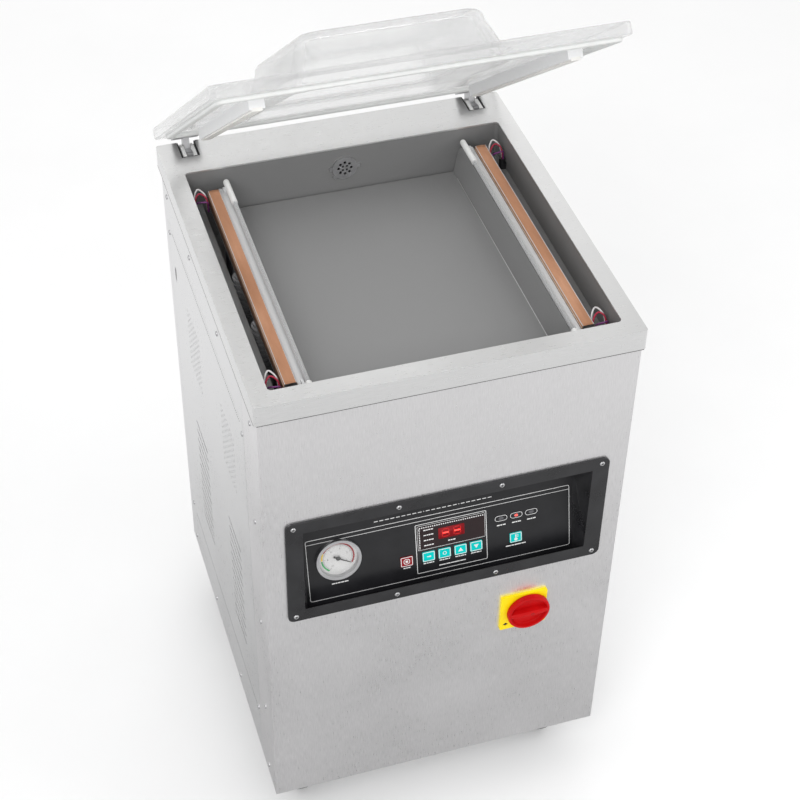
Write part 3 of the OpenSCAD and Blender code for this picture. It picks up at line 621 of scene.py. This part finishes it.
def seam_dots():
    """Rows of small dark vent dots along the top and bottom seams of both side covers: black discs painted as
    the shade inside the vent holes.
    """
    low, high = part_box("left_side_cover")
    pitch = 4 * MM
    radius = 1.1 * MM
    seam = 9 * MM        # from the cover's edge to the row
    start = 20 * MM      # from the cover's end to the first dot
    for side, x, sign in (("left", low.x, -1), ("right", -low.x, 1)):
        mesh = bmesh.new()
        for z in (low.z + seam, high.z - seam):
            count = int((high.y - low.y - 2 * start) / pitch)
            for i in range(count):
                y = low.y + start + i * pitch
                turn = Matrix.Translation((x, y, z)) @ Matrix.Rotation(sign * math.pi / 2, 4, "Y")
                lathe(mesh, [(radius, -0.1 * MM), (radius, 0.05 * MM), (radius * 0.8, 0.12 * MM)], turn, 10)
        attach(to_object(side + "_seam_dots", mesh, "black_paint"), "cabinet")


def screw_heads():
    """Domed heads with a dark six-sided socket, one where each CAD screw is; the socket is filled with a
    black piece, painted shade of the hole.
    """
    mesh = bmesh.new()
    sockets = bmesh.new()
    for low, high in islands("panel_screws"):
        size = high - low
        centre = (low + high) / 2
        if size.x > size.y:
            out = Vector((1 if centre.x > 0 else -1, 0, 0))
        else:
            out = Vector((0, 1 if centre.y > 0 else -1, 0))
        length = max(size)
        foot = centre + out * (length / 2 - 1.6 * MM)
        turn = Matrix.Translation(foot) @ out.to_track_quat("Z", "Y").to_matrix().to_4x4()
        profile = [(3.6, 0), (3.6, 0.5), (3.3, 1.0), (2.7, 1.4), (1.9, 1.6), (1.5, 1.55), (1.35, 0.4),
                   (0.0, 0.3)]
        lathe(mesh, mm(profile), turn, 20)
        # A black six-sided fill in the socket: painted shade of the hole.
        lathe(sockets, mm([(1.3, 0.4), (1.3, 1.5), (0, 1.5)]), turn, 6)
    heads = to_object("screw_heads", mesh, "wire")
    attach(heads, "cabinet")
    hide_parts("panel_screws")
    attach(to_object("screw_sockets", sockets, "black_paint", smooth=False), "cabinet")


# ---- chamber

def chamber():
    dress("chamber_steel", 0.0010, "chamber_tub")
    dress("tray_steel", 0.0006, "floor_tray")
    dress("rail_steel", 0.0003, "clip_rails")
    dress("alloy", 0.0003, "suction_grille")
    dress("bellows", 0.0005, "lift_bellows")
    dress("black_plastic", 0.0005, "lead_glands")
    dress("alloy", 0.0008, "seal_bar_left", "seal_bar_right")
    paint("white_plastic", "clip_sleeves")
    clip_springs()
    tray_fold_highlights()
    for side in ("left", "right"):
        seal_tape(side)
    heater_leads()


def clip_springs():
    """A tightly wound coil over a core rod on each side of the tray."""
    wire = 0.5 * MM
    pitch = 1.9 * MM
    coils = bmesh.new()
    cores = bmesh.new()
    for low, high in islands("clip_springs"):
        centre = (low + high) / 2
        radius = (high.x - low.x) / 2
        start, end = [Vector((centre.x, y, centre.z)) for y in (low.y, high.y)]
        tube(coils, helix(start, end, radius - wire, (high.y - low.y) / pitch, 12), wire, 5)
        tube(cores, [start, end], radius - 2 * wire, 16)
    coil = to_object("clip_spring_coils", coils, "coil_wire")
    core = to_object("clip_spring_cores", cores, "iron")
    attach(coil, "cabinet")
    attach(core, "cabinet")
    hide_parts("clip_springs")


def tray_fold_highlights():
    """A painted highlight: a bright line along each fold where the tray's floor turns up."""
    low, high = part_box("floor_tray")
    fold_x = 158 * MM
    fold_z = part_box("top_rim")[1].z - 70 * MM
    end_gap = 0.018
    mesh = bmesh.new()
    for x in (-fold_x, fold_x):
        path = [Vector((x, y, fold_z)) for y in (low.y + end_gap, high.y - end_gap)]
        tube(mesh, path, 0.45 * MM)
    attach(to_object("tray_fold_highlights", mesh, "rail_steel"), "cabinet")


def seal_tape(side):
    """Tape folded over the bar with rounded shoulders and a raised band where the heater strip runs."""
    node = "seal_tape_" + side
    low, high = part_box(node)
    x = (low.x + high.x) / 2
    half = (high.x - low.x) / 2
    shoulder = 2.2 * MM
    thick = 0.45 * MM
    strip = 2.4 * MM
    line = 0.5 * MM
    outer = [(-half, low.z), (-half, high.z - shoulder)]
    flat = high.z - 0.25 * MM
    for a in (150, 120, 90):
        turn = math.radians(a)
        outer.append((-half + shoulder + shoulder * math.cos(turn),
                      flat - shoulder + shoulder * math.sin(turn)))
    outer += [(-strip - 0.6 * MM, flat), (-strip, high.z), (0, high.z)]
    outer += [(-dx, z) for dx, z in reversed(outer[:-1])]
    inner = [(dx * (1 - thick / half), z - thick if z > low.z + thick else z) for dx, z in reversed(outer)]
    section = outer + inner
    mesh = bmesh.new()
    steps = 60
    rings = []
    for i in range(steps + 1):
        y = low.y + (high.y - low.y) * i / steps
        rings.append([Vector((x + dx, y, z)) for dx, z in section])
    loft(mesh, rings)
    tape = to_object("tape_" + side, mesh, "tape")
    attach(tape, "bar_" + side)
    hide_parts(node)
    edges = bmesh.new()
    for sign in (-1, 1):
        edge = x + sign * half
        block(edges, (edge - line / 2, low.y, high.z - 5 * MM), (edge + line / 2, high.y, high.z - 3.6 * MM))
    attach(to_object("tape_edge_" + side, edges, "cream_tape"), "bar_" + side)


def heater_leads():
    """Red, purple and white wires looping from each wall gland to the end of the bar."""
    wires = {"lead_red": bmesh.new(), "lead_purple": bmesh.new(), "lead_white": bmesh.new()}
    for low, high in islands("heater_leads"):
        mid = (low + high) / 2
        sign = 1 if mid.x > 0 else -1
        outer = max(abs(low.x), abs(high.x)) - 1.5 * MM
        inner = min(abs(low.x), abs(high.x)) + 1.5 * MM
        bottom = low.z
        top = high.z - 1.5 * MM
        swings = {"lead_red": (0, 9), "lead_purple": (-3, -8), "lead_white": (3, 16)}
        for name, (offset, swing) in swings.items():
            y = mid.y + offset * MM
            loop = y + swing * MM
            between = (y + loop) / 2
            stops = [(outer, y, bottom), (outer, y, bottom + 9 * MM), (outer - 2 * MM, between, top - 3 * MM),
                     ((outer + inner) / 2, loop, top), (inner + MM, between, top - 5 * MM),
                     (inner, y, bottom + 8 * MM), (inner, y, bottom)]
            points = [Vector((sign * x, along, z)) for x, along, z in stops]
            tube(wires[name], smooth_path(points), 1.15 * MM)
    for name, mesh in wires.items():
        wire = to_object(name + "s", mesh, name)
        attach(wire, "cabinet")
        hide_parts("heater_leads")


# ---- lid and hinges

def lid_turn():
    """Takes the closed lid to the angle at which it rests."""
    joint = JOINTS["lid_hinge"]
    pivot = Vector(joint["pos_m"])
    turn = Matrix.Rotation(math.radians(-joint["range_deg"][0]), 4, Vector(joint["axis"]))
    return Matrix.Translation(pivot) @ turn @ Matrix.Translation(-pivot)


def closed_box(node):
    """Box of a lid node when the lid is closed."""
    back = lid_turn().inverted()
    return bounds([back @ v.co for v in NODES[node].data.vertices])


def lid():
    dress("pale_alloy", 0.0006, "counter_bars")
    dress("alloy", 0.0006, "hinge_arms")
    dress("silicone", 0.0008, "counter_silicones")
    dress("white_plastic", 0.0010, "hinge_clevises")
    paint("wire", "hinge_pins")
    lid_cover()
    lid_gasket()
    hinge_springs()
    notch_shade_lining()


def notch_shade_lining():
    """Black lining round each hinge notch, with a foot between the notch wall and the clevis: painted shade
    of the dark gap round the clevis.
    """
    rim_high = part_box("top_rim")[1]
    notch_x = 204 * MM
    notch_w = 12.4 * MM
    front = 236.1 * MM
    back = rim_high.y - 0.5 * MM
    clevis_w = 9.6 * MM
    slot_w = 5 * MM
    edge_t = 1.6 * MM
    top = rim_high.z - 0.2 * MM
    foot = rim_high.z - 7 * MM
    mesh = bmesh.new()
    for side in (-notch_x, notch_x):
        for sign in (-1, 1):
            outer, wall = side + sign * notch_w, side + sign * (notch_w - edge_t)
            ear, slot = side + sign * clevis_w, side + sign * slot_w
            block(mesh, (min(outer, wall), front, foot), (max(outer, wall), back, top))
            block(mesh, (min(wall, ear), front, foot), (max(wall, ear), back, foot + MM))
            block(mesh, (min(wall, slot), front, foot + MM), (max(wall, slot), front + edge_t, top))
    shade_lining_piece = to_object("notch_shade_lining", mesh, "black_plastic", smooth=False)
    soften(shade_lining_piece, 0.3 * MM)
    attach(shade_lining_piece, "cabinet")


def dome_rings(low, high, inset):
    """Rings up the dome's wall and over its rounded edge to the crown, shrunk by inset."""
    edge = max(14 * MM - inset, 5 * MM)
    crown = high.z - inset
    foot = (137 * MM, -182 * MM, 190 * MM)  # half width, front and back
    top = (116 * MM, -162 * MM, 168 * MM)
    corner = 32 * MM - inset
    shoulder = crown - edge
    start = low.z if inset > 0 else low.z + LID_T
    steps = 6

    def ring_at(z, pull):
        k = min((z - low.z) / (shoulder - low.z), 1)
        half_w, front, back = [a + (b - a) * k for a, b in zip(foot, top)]
        half_w, front, back = half_w - inset - pull, front + inset + pull, back - inset - pull
        centre = (0, (front + back) / 2)
        return ring(centre, half_w, (back - front) / 2, max(corner - pull, 4 * MM), z, 10)

    flare = ((2.5, 0), (0.8, 0.7), (0, 2.5)) if inset > 0 else ((7, 0), (3.4, 0.5), (1.2, 2.2), (0.2, 5))
    rings = [ring_at(start + rise * MM, -spread * MM) for spread, rise in flare]
    for i in range(1, steps + 1):
        z = start + 5 * MM + (shoulder - start - 5 * MM) * i / steps
        rings.append(ring_at(z, 0))
    for i in range(1, steps + 1):
        a = math.radians(90 * i / steps)
        rings.append(ring_at(shoulder + edge * math.sin(a), edge * (1 - math.cos(a))))
    return rings


def lid_cover():
    """The clear plate and its drawn dome, one closed shell."""
    low, high = closed_box("lid_shell")
    chamfer = 1.5 * MM
    centre = (0, (low.y + high.y) / 2)
    half_w = high.x
    half_d = (high.y - low.y) / 2
    corner = 12 * MM

    def rim_ring(z, pull):
        return ring(centre, half_w - pull, half_d - pull, corner - pull, z, 10)

    outer = [rim_ring(low.z, chamfer), rim_ring(low.z + chamfer, 0),
             rim_ring(low.z + LID_T - chamfer, 0), rim_ring(low.z + LID_T, chamfer)]
    outer += dome_rings(low, high, 0)
    inner = dome_rings(low, high, 7 * MM)
    mesh = bmesh.new()
    loft(mesh, inner[::-1] + outer)
    mesh.transform(lid_turn())
    cover = to_object("lid_cover", mesh, "acrylic")
    split_edges(cover, 35)
    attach(cover, "lid")
    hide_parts("lid_shell")


def lid_gasket():
    """A soft hollow-looking profile: flat foot, two lips and a groove between them."""
    low, high = closed_box("lid_gasket")
    centre = ((low.x + high.x) / 2, (low.y + high.y) / 2)
    half_w = (high.x - low.x) / 2
    half_d = (high.y - low.y) / 2
    profile = [(0, 0), (0, -3.4), (1.0, -5.0), (2.4, -5.5), (3.6, -4.8), (5, -3.6), (6.4, -4.8), (7.6, -5.5),
               (9.0, -5.0), (10, -3.4), (10, 0), (0, 0)]
    rings = []
    for inset, drop in profile:
        pull = inset * MM
        radius = 14 * MM - pull * 0.8
        rings.append(ring(centre, half_w - pull, half_d - pull, radius, high.z + drop * MM, 8))
    mesh = bmesh.new()
    loft(mesh, rings, cap_start=False, cap_end=False)
    bmesh.ops.remove_doubles(mesh, verts=mesh.verts, dist=1e-6)
    mesh.transform(lid_turn())
    gasket = to_object("gasket_profile", mesh, "gasket")
    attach(gasket, "lid")
    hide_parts("lid_gasket")


def hinge_springs():
    """Coil springs that the lid's arms squeeze as it closes."""
    wire = 0.8 * MM
    mesh = bmesh.new()
    for foot, top in islands("hinge_springs"):
        centre = (foot + top) / 2
        radius = (top.x - foot.x) / 2
        start, end = [Vector((centre.x, centre.y, z)) for z in (foot.z + wire, top.z - wire)]
        tube(mesh, helix(start, end, radius - wire, 14, 16), wire)
    springs = to_object("hinge_coils", mesh, "wire")
    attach(springs, "cabinet")
    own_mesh(springs)
    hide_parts("hinge_springs")


# ---- control panel

def face_matrix():
    """Local x runs across the control face, y up its slope and z out of it."""
    into = Vector(JOINTS["stop_press"]["axis"])
    right = Vector((1, 0, 0))
    up = right.cross(into)
    key_place = (-47.8 * MM, 31.2 * MM)
    key_depth = 1.0 * MM
    origin = middle("stop_key") - right * key_place[0] - up * key_place[1] - into * key_depth
    turn = Matrix((right, up, -into)).transposed().to_4x4()
    return Matrix.Translation(origin) @ turn


FACE = face_matrix()
INK = 0.12 * MM
DISPLAY_OUT = 1.0        # how far the display window stands out of the face, in millimetres


def on_face(x, t, out=0.0):
    """A place on the face, in millimetres."""
    return FACE @ Matrix.Translation((x * MM, t * MM, out * MM))


def bar_mark(mesh, x0, t0, x1, t1, out=0.0):
    """A printed rectangle between two corners, in millimetres on the face."""
    block(mesh, (0, 0, 0), ((x1 - x0) * MM, (t1 - t0) * MM, INK), on_face(x0, t0, out))


def outline_mark(mesh, x0, t0, x1, t1, line, radius, out=0.0):
    """A printed rounded outline, line wide."""
    w = (x1 - x0) * MM
    h = (t1 - t0) * MM
    centre = ((x0 + x1) / 2 * MM, (t0 + t1) / 2 * MM)
    base = out * MM
    rings = []
    for inset, z in ((0, base), (0, base + INK), (line * MM, base + INK), (line * MM, base)):
        bend = max(radius * MM - inset, 0.1 * MM)
        rings.append([FACE @ p for p in ring(centre, w / 2 - inset, h / 2 - inset, bend, z, 5)])
    loft(mesh, rings, cap_start=False, cap_end=False)


def label_marks(mesh, x, t, lengths, height=1.5, out=0.0, gap=0.7):
    """A short row of plain dashes where a caption would be, centred on x."""
    total = sum(lengths) + gap * (len(lengths) - 1)
    start = x - total / 2
    for length in lengths:
        bar_mark(mesh, start, t - height / 2, start + length, t + height / 2, out)
        start += length + gap


def arc_mark(mesh, matrix, r0, r1, a0, a1):
    """A printed band between two radii and two angles, in millimetres and degrees."""
    count = int(abs(a1 - a0) / 3)
    rings = []
    for i in range(count + 1):
        a = math.radians(a0 + (a1 - a0) * i / count)
        direction = Vector((math.cos(a), math.sin(a), 0))
        corners = [(r0, 0), (r1, 0), (r1, 0.1), (r0, 0.1)]
        rings.append([matrix @ (direction * r * MM + Vector((0, 0, z * MM))) for r, z in corners])
    loft(mesh, rings)


def control_panel():
    dress("black_plastic", 0.0012, "control_bezel")
    dress("face_film", 0.0003, "control_face")
    dress("window_film", 0.0003, "display_module")
    paint("board", "control_board")
    printed_lines()
    display_digits()
    keys()
    status_lights()
    gauge()
    main_switch()


CAPTIONS = [             # centre x, centre height, dash lengths, dash height, on the window
    (-47.8, 20.6, (3.0, 2.0, 3.2), 1.6, False), (15, 13.5, (9, 6, 12, 8), 1.5, False),
    (15, 50.5, (3, 2.2, 3.4), 1.6, True), (104, 19.5, (7, 4, 9, 6), 1.6, False),
]
CAPTIONS += [(-16.5, t, (3.4, 2.0, 2.8, 3.0), 1.5, True) for t in (50, 58, 66, 74)]
CAPTIONS += [(x, 21.2, (3.5, 2.6, 4.4, 2.0), 1.5, False) for x in (-17.5, 4.5, 26.6, 48.4)]
CAPTIONS += [(x, 55.5, (4, 2.6, 4.2), 1.6, False) for x in (84.4, 105.7, 126.7)]


def printed_lines():
    """Frame lines, rows of dashes where captions would be, and the window's small scales."""
    mesh = bmesh.new()
    outline_mark(mesh, -180.5, 0, 180.5, 95.5, 0.7, 3)
    bar_mark(mesh, -180, 88.6, 180, 89.2)
    outline_mark(mesh, -34, 7, 64, 84, 0.8, 2)
    outline_mark(mesh, -31.5, 43.2, 61.8, 81.2, 0.5, 1.5)
    for x, t, lengths, height, on_window in CAPTIONS:
        label_marks(mesh, x, t, lengths, height, DISPLAY_OUT if on_window else 0.0)
    label_marks(mesh, gauge_place()[0], 21.5, (4.5, 2.2, 3.6, 4.2, 5.0))
    label_marks(mesh, -8, 103, [5.2] * 9 + [1.2] + [5.2] * 6 + [1.2] + [5.2] * 6, 1.1, gap=2.2)
    for i in range(30):
        x = -29 + i * 3
        bar_mark(mesh, x, 77.6, x + 1.6, 79.2, DISPLAY_OUT)
    for i in range(12):
        t = 46 + i * 2.7
        bar_mark(mesh, -29.6, t, -28.2, t + 1.5, DISPLAY_OUT)
    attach(to_object("printed_lines", mesh, "white_print", smooth=False), "cabinet")


def display_digits():
    """Red two-place display showing a dash in each place, behind a dark window."""
    window = bmesh.new()
    plate(window, rounded(36, 17, 1.5), 0.3 * MM, on_face(15, 64, 1.0))
    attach(to_object("digit_window", window, "maroon_print"), "cabinet")
    lit = bmesh.new()
    for x in (7, 23):
        block(lit, (-4 * MM, -0.9 * MM, 0), (4 * MM, 0.9 * MM, 0.15 * MM), on_face(x, 64, 1.3))
    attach(to_object("lit_dashes", lit, "lit_red", smooth=False), "cabinet")
    unlit = bmesh.new()
    across = (3.4 * MM, 0.6 * MM)
    upright = (0.6 * MM, 2.2 * MM)
    spots = [(0, 58.2, across), (0, 69.8, across)]
    spots += [(dx, t, upright) for dx in (-4.6, 4.6) for t in (61, 67)]
    for x in (7, 23):
        for dx, t, (half_w, half_h) in spots:
            block(unlit, (-half_w, -half_h, 0), (half_w, half_h, 0.08 * MM), on_face(x + dx, t, 1.3))
    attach(to_object("unlit_segments", unlit, "red_print", smooth=False), "cabinet")


def key_icon(mesh, kind, x, t, out):
    """A plain pictogram on a key cap."""
    heads = {"up": [(-3.4, -2.6), (3.4, -2.6), (0, 3.2)], "menu": [(1.2, -1.8), (3.6, 0), (1.2, 1.8)],
             "down": [(3.4, 2.6), (-3.4, 2.6), (0, -3.2)]}
    if kind == "menu":
        bar_mark(mesh, x - 2.4, t - 0.6, x + 1.4, t + 0.6, out)
    if kind in heads:
        plate(mesh, mm(heads[kind]), INK, on_face(x, t, out))
    elif kind == "set":
        outline_mark(mesh, x - 2.6, t - 2.6, x + 2.6, t + 2.6, 0.8, 2.4, out)
    elif kind == "heat":
        bar_mark(mesh, x - 0.8, t - 1.5, x + 0.8, t + 4.6, out)
        plate(mesh, rounded(4.6, 4.6, 2.2), INK, on_face(x, t - 3, out))
        for dt in (0.4, 2.0, 3.6):
            bar_mark(mesh, x + 1.6, t + dt, x + 3.6, t + dt + 0.6, out)
    else:
        outline_mark(mesh, x - 4.4, t - 4.2, x + 4.4, t + 4.2, 0.9, 3.6, out)
        bar_mark(mesh, x - 1.7, t - 1.7, x + 1.7, t + 1.7, out)


def keys():
    """Key caps with a printed white border and a pictogram; each print moves with its key."""
    inverse = FACE.inverted()
    for name in ("stop", "menu", "set", "up", "down", "heat"):
        node = name + "_key"
        dress("maroon_print" if name == "stop" else "teal_film", 0.0004, node)
        place = inverse @ middle(node)
        x = place.x / MM
        t = place.y / MM
        top = 1.0
        mesh = bmesh.new()
        outline_mark(mesh, x - 8.1, t - 7.1, x + 8.1, t + 7.1, 0.9, 1.4, top)
        key_icon(mesh, name, x, t, top)
        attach(to_object(name + "_key_print", mesh, "white_print", smooth=False), node)


def status_lights():
    """Three oval windows with a printed rim; the middle one is lit."""
    rims = bmesh.new()
    dim = bmesh.new()
    lit = bmesh.new()
    for number, x in enumerate((84.4, 105.7, 126.7)):
        outline_mark(rims, x - 8.6, 61.8, x + 8.6, 70.2, 0.6, 4.1)
        plate(dim, rounded(7, 4.4, 2.1), INK, on_face(x, 66))
        if number == 1:
            plate(lit, rounded(4, 3, 1.4), 0.3 * MM, on_face(x, 66))
    for name, mesh, material in (("status_rims", rims, "white_print"), ("status_windows", dim, "dim_lens"),
                                 ("status_lit", lit, "lit_red")):
        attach(to_object(name, mesh, material, smooth=False), "cabinet")


def gauge_place():
    place = FACE.inverted() @ Vector(JOINTS["needle_turn"]["pos_m"])
    return place.x / MM, place.y / MM


def gauge():
    dress("alloy", 0.0006, "gauge_case")
    dress("dial_paint", 0.0002, "gauge_dial")
    x, t = gauge_place()
    ribbed_ring(x, t)
    dial_print(x, t)
    needle(x, t)
    lens = bmesh.new()
    profile = [(0, -0.7), (25.8, -0.7), (25.8, 0.2), (18, 0.55), (0, 0.7)]
    lathe(lens, mm(profile), on_face(x, t, 2.9), 64)
    glass = to_object("gauge_lens", lens, "glass")
    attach(glass, "cabinet")
    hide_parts("gauge_glass")


def ribbed_ring(x, t):
    """Fine ribs round the gauge's outer ring."""
    mesh = bmesh.new()
    count = 90
    for i in range(count):
        turn = on_face(x, t, 0.4) @ Matrix.Rotation(2 * math.pi * i / count, 4, "Z")
        block(mesh, (26.6 * MM, -0.55 * MM, 0), (30.1 * MM, 0.55 * MM, 4.85 * MM), turn)
    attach(to_object("gauge_ribs", mesh, "alloy", smooth=False), "cabinet")


def dial_print(x, t):
    """Coloured scale bands, ticks and numbers of the vacuum gauge."""
    centre = on_face(x, t, -2.0)
    bands = {"maroon_print": (150, -32), "yellow_print": (182, 152), "green_print": (236, 184)}
    for material, (a0, a1) in bands.items():
        mesh = bmesh.new()
        arc_mark(mesh, centre, 20.4, 22.6, a0, a1)
        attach(to_object("dial_band_" + material, mesh, material, smooth=False), "cabinet")
    mesh = bmesh.new()
    for i in range(51):
        a = 236 - i * 268 / 50
        turn = centre @ Matrix.Rotation(math.radians(a), 4, "Z")
        start = (16.6 if i % 10 == 0 else 18.4) * MM
        block(mesh, (start, -0.16 * MM, 0), (20.2 * MM, 0.16 * MM, 0.12 * MM), turn)
    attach(to_object("dial_ticks", mesh, "black_paint", smooth=False), "cabinet")
    for i, number in enumerate(("10", "8", "6", "4", "2", "0")):
        a = math.radians(236 - i * 268 / 5)
        spot = Matrix.Translation((13.6 * MM * math.cos(a), 13.6 * MM * math.sin(a), 0))
        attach(number_mark("dial_number_" + number, number, centre @ spot), "cabinet")


def number_mark(name, text, matrix):
    """A printed number as a thin mesh."""
    curve = bpy.data.curves.new(name + "_text", "FONT")
    curve.body = text
    curve.size = 3.4 * MM
    curve.extrude = 0.05 * MM
    curve.align_x = "CENTER"
    curve.align_y = "CENTER"
    holder = bpy.data.objects.new(name + "_text", curve)
    bpy.context.collection.objects.link(holder)
    graph = bpy.context.evaluated_depsgraph_get()
    data = bpy.data.meshes.new_from_object(holder.evaluated_get(graph))
    bpy.data.objects.remove(holder)
    data.transform(matrix)
    data.materials.clear()
    return to_object(name, data, "black_paint", smooth=False)


def needle(x, t):
    """A tapered pointer with a round hub and a short tail."""
    centre = on_face(x, t, 0.2) @ Matrix.Rotation(math.radians(-31), 4, "Z")
    mesh = bmesh.new()
    outline = [(-7, -1.5), (-3, -1.0), (6, -0.9), (20, -0.25), (20, 0.25), (6, 0.9), (-3, 1.0), (-7, 1.5)]
    plate(mesh, mm(outline), 0.4 * MM, centre)
    lathe(mesh, mm([(3.2, -0.1), (3.2, 0.6), (2.4, 1.0), (0, 1.05)]), centre, 32)
    lathe(mesh, mm([(0.9, -3.2), (0.9, 0.2)]), centre, 16)
    pointer = to_object("gauge_pointer", mesh, "black_paint")
    split_edges(pointer, 35)
    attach(pointer, "needle")
    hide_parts("gauge_needle")


# ---- main switch

KNOB_GAP = 0.3 * MM      # between the yellow plate and the knob


def main_switch():
    dress("switch_yellow", 0.0010, "main_switch")
    low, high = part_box("switch_knob")
    centre = (low + high) / 2
    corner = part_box("main_switch")[0]
    facing = Matrix.Rotation(math.pi / 2, 4, "X")
    turn = Matrix.Translation((centre.x, corner.y - KNOB_GAP, centre.z)) @ facing
    switch_knob(turn, low.y, corner.y)
    mark = bmesh.new()
    spot = Matrix.Translation((corner.x + 8 * MM, corner.y, centre.z - 22 * MM)) @ facing
    plate(mark, mm([(-3.4, 0), (0, -2.6), (3.4, 0), (0, 2.6)]), 0.1 * MM, spot)
    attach(to_object("switch_diamond", mark, "black_paint", smooth=False), "cabinet")


def switch_knob(turn, tip, plate_front):
    """Round red knob: dished disc with a raised rim, and a bar handle across it."""
    mesh = bmesh.new()
    profile = [(0, 0), (29, 0), (30, 0.8), (30, 7.2), (29.2, 8.6), (27.8, 9), (26.4, 8.4), (25.6, 4.4),
               (24.6, 2.4), (12, 2.2), (0, 2.2)]
    lathe(mesh, mm(profile), turn, 72)
    lathe(mesh, mm([(3.9, -12), (3.9, 1)]), turn, 24)
    height = (plate_front - KNOB_GAP - tip) / MM
    sections = [(-29.3, 1.4, 8.4), (-27, 2.8, 9.2), (-20, 3.6, height - 0.8), (-8, 4.0, height),
                (4, 4.2, height), (14, 4.2, height), (22, 3.8, height - 0.8), (27.4, 2.8, 9.2),
                (29.2, 1.2, 8.4)]
    rings = []
    for along, half, top in sections:
        base = 2.0
        soft = half * 0.45
        points = [(-half * 1.35, base), (-half, top - soft), (-half + soft, top), (half - soft, top),
                  (half, top - soft), (half * 1.35, base)]
        rings.append([turn @ Vector((along * MM, across * MM, rise * MM)) for across, rise in points])
    loft(mesh, rings)
    knob = to_object("red_knob", mesh, "switch_red")
    bevel(knob, 0.7 * MM)
    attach(knob, "knob")
    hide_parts("switch_knob")
    # The lock hole is a shallow black dish: painted shade of the hole.
    hole = bmesh.new()
    spot = turn @ Matrix.Translation((4 * MM, 0, (height - 0.1) * MM))
    lathe(hole, mm([(2.2, -0.4), (2.2, 0.12), (1.8, 0.12), (0, -0.1)]), spot, 24)
    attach(to_object("knob_lock_hole", hole, "black_paint"), "knob")


# ---- inside and castors

def machinery():
    dress("pump", 0.0015, "vacuum_pump")
    dress("motor", 0.0008, "pump_motor")
    dress("black_plastic", 0.0006, "motor_fan", "mains_gland")
    paint("hose", "suction_hose")
    dress("iron", 0.0010, "transformer")
    dress("brass", 0.0006, "solenoid_valve")


def castors():
    dress("zinc", 0.0006, "caster_plates")
    for corner in ("fl", "fr", "rl", "rr"):
        dress("zinc", 0.0005, "caster_fork_" + corner)
        castor_wheel(corner)


def castor_wheel(corner):
    """A rounded tread on a moulded hub with a recessed web and raised boss."""
    node = "caster_wheel_" + corner
    low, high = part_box(node)
    centre = (low + high) / 2
    turn = Matrix.Translation(centre) @ Matrix.Rotation(math.pi / 2, 4, "Y")
    tread = [(28, -11.6), (34, -12), (36.2, -10.6), (37.2, -6), (37.5, 0), (37.2, 6), (36.2, 10.6), (34, 12),
             (28, 11.6), (28, -11.6)]
    half_hub = [(28.2, 10.4), (26, 11), (24.5, 10), (23.5, 5), (13, 4.5), (11.5, 6), (10, 12.6), (9, 13.2),
                (4.1, 13.2)]
    hub = [(28.2, -10.4)] + half_hub + [(radius, -height) for radius, height in reversed(half_hub)]
    for name, profile, material in (("tread", tread, "tyre"), ("hub", hub, "hub")):
        mesh = bmesh.new()
        lathe(mesh, mm(profile), turn, 56, capped=False)
        piece = to_object("wheel_" + name + "_" + corner, mesh, material)
        split_edges(piece, 40)
        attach(piece, "wheel_" + corner)
        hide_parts(node)


# ---- studio

def studio():
    """Pale floor, an even bright surround and three large soft lights."""
    floor_mesh = bmesh.new()
    bmesh.ops.create_grid(floor_mesh, x_segments=1, y_segments=1, size=12)
    finish = Finish("studio_floor", 0.7)
    finish.colour(finish.ramp(finish.noise(3), [(0.3, (0.93, 0.93, 0.93)), (0.7, (0.95, 0.95, 0.95))]))
    M["studio_floor"] = finish.material
    floor_piece = to_object("studio_floor", floor_mesh, "studio_floor")
    floor_piece.visible_glossy = False
    surround()
    bpy.context.scene.view_settings.view_transform = "Standard"
    add_light("key_light", (-1.6, -2.6, 3.2), (0, 0, 0.7), 2.2, 55)
    add_light("fill_light", (2.8, -1.4, 2.2), (0, 0, 0.6), 2.0, 18)
    add_light("back_light", (0.4, 2.8, 3.0), (0, 0, 0.9), 2.6, 17)


def surround():
    """White sky over a ground that greys downwards, which upright steel reflects as a soft gradient."""
    world = bpy.data.worlds.new("studio")
    bpy.context.scene.world = world
    world.use_nodes = True
    nodes = world.node_tree.nodes
    links = world.node_tree.links
    height = nodes.new("ShaderNodeSeparateXYZ")
    links.new(nodes.new("ShaderNodeTexCoord").outputs["Generated"], height.inputs[0])
    scaled = nodes.new("ShaderNodeMapRange")
    scaled.inputs["From Min"].default_value = -1
    links.new(height.outputs["Z"], scaled.inputs["Value"])
    ramp = nodes.new("ShaderNodeValToRGB")
    links.new(scaled.outputs[0], ramp.inputs["Fac"])
    greys = [(0.0, 0.22), (0.10, 0.22), (0.135, 0.36), (0.17, 0.86), (0.24, 0.90), (0.36, 0.72),
             (0.55, 0.94), (0.72, 0.76), (0.90, 0.76), (1.0, 0.95)]
    set_stops(ramp, [(position, (grey, grey, grey)) for position, grey in greys])
    links.new(ramp.outputs["Color"], nodes["Background"].inputs["Color"])


def add_light(name, place, target, size, power):
    data = bpy.data.lights.new(name, "AREA")
    data.shape = "DISK"
    data.size = size
    data.energy = power
    light = bpy.data.objects.new(name, data)
    light.location = place
    light.rotation_euler = (Vector(target) - Vector(place)).to_track_quat("-Z", "Y").to_euler()
    bpy.context.collection.objects.link(light)


set_camera()
cabinet()
chamber()
lid()
control_panel()
machinery()
castors()
studio()
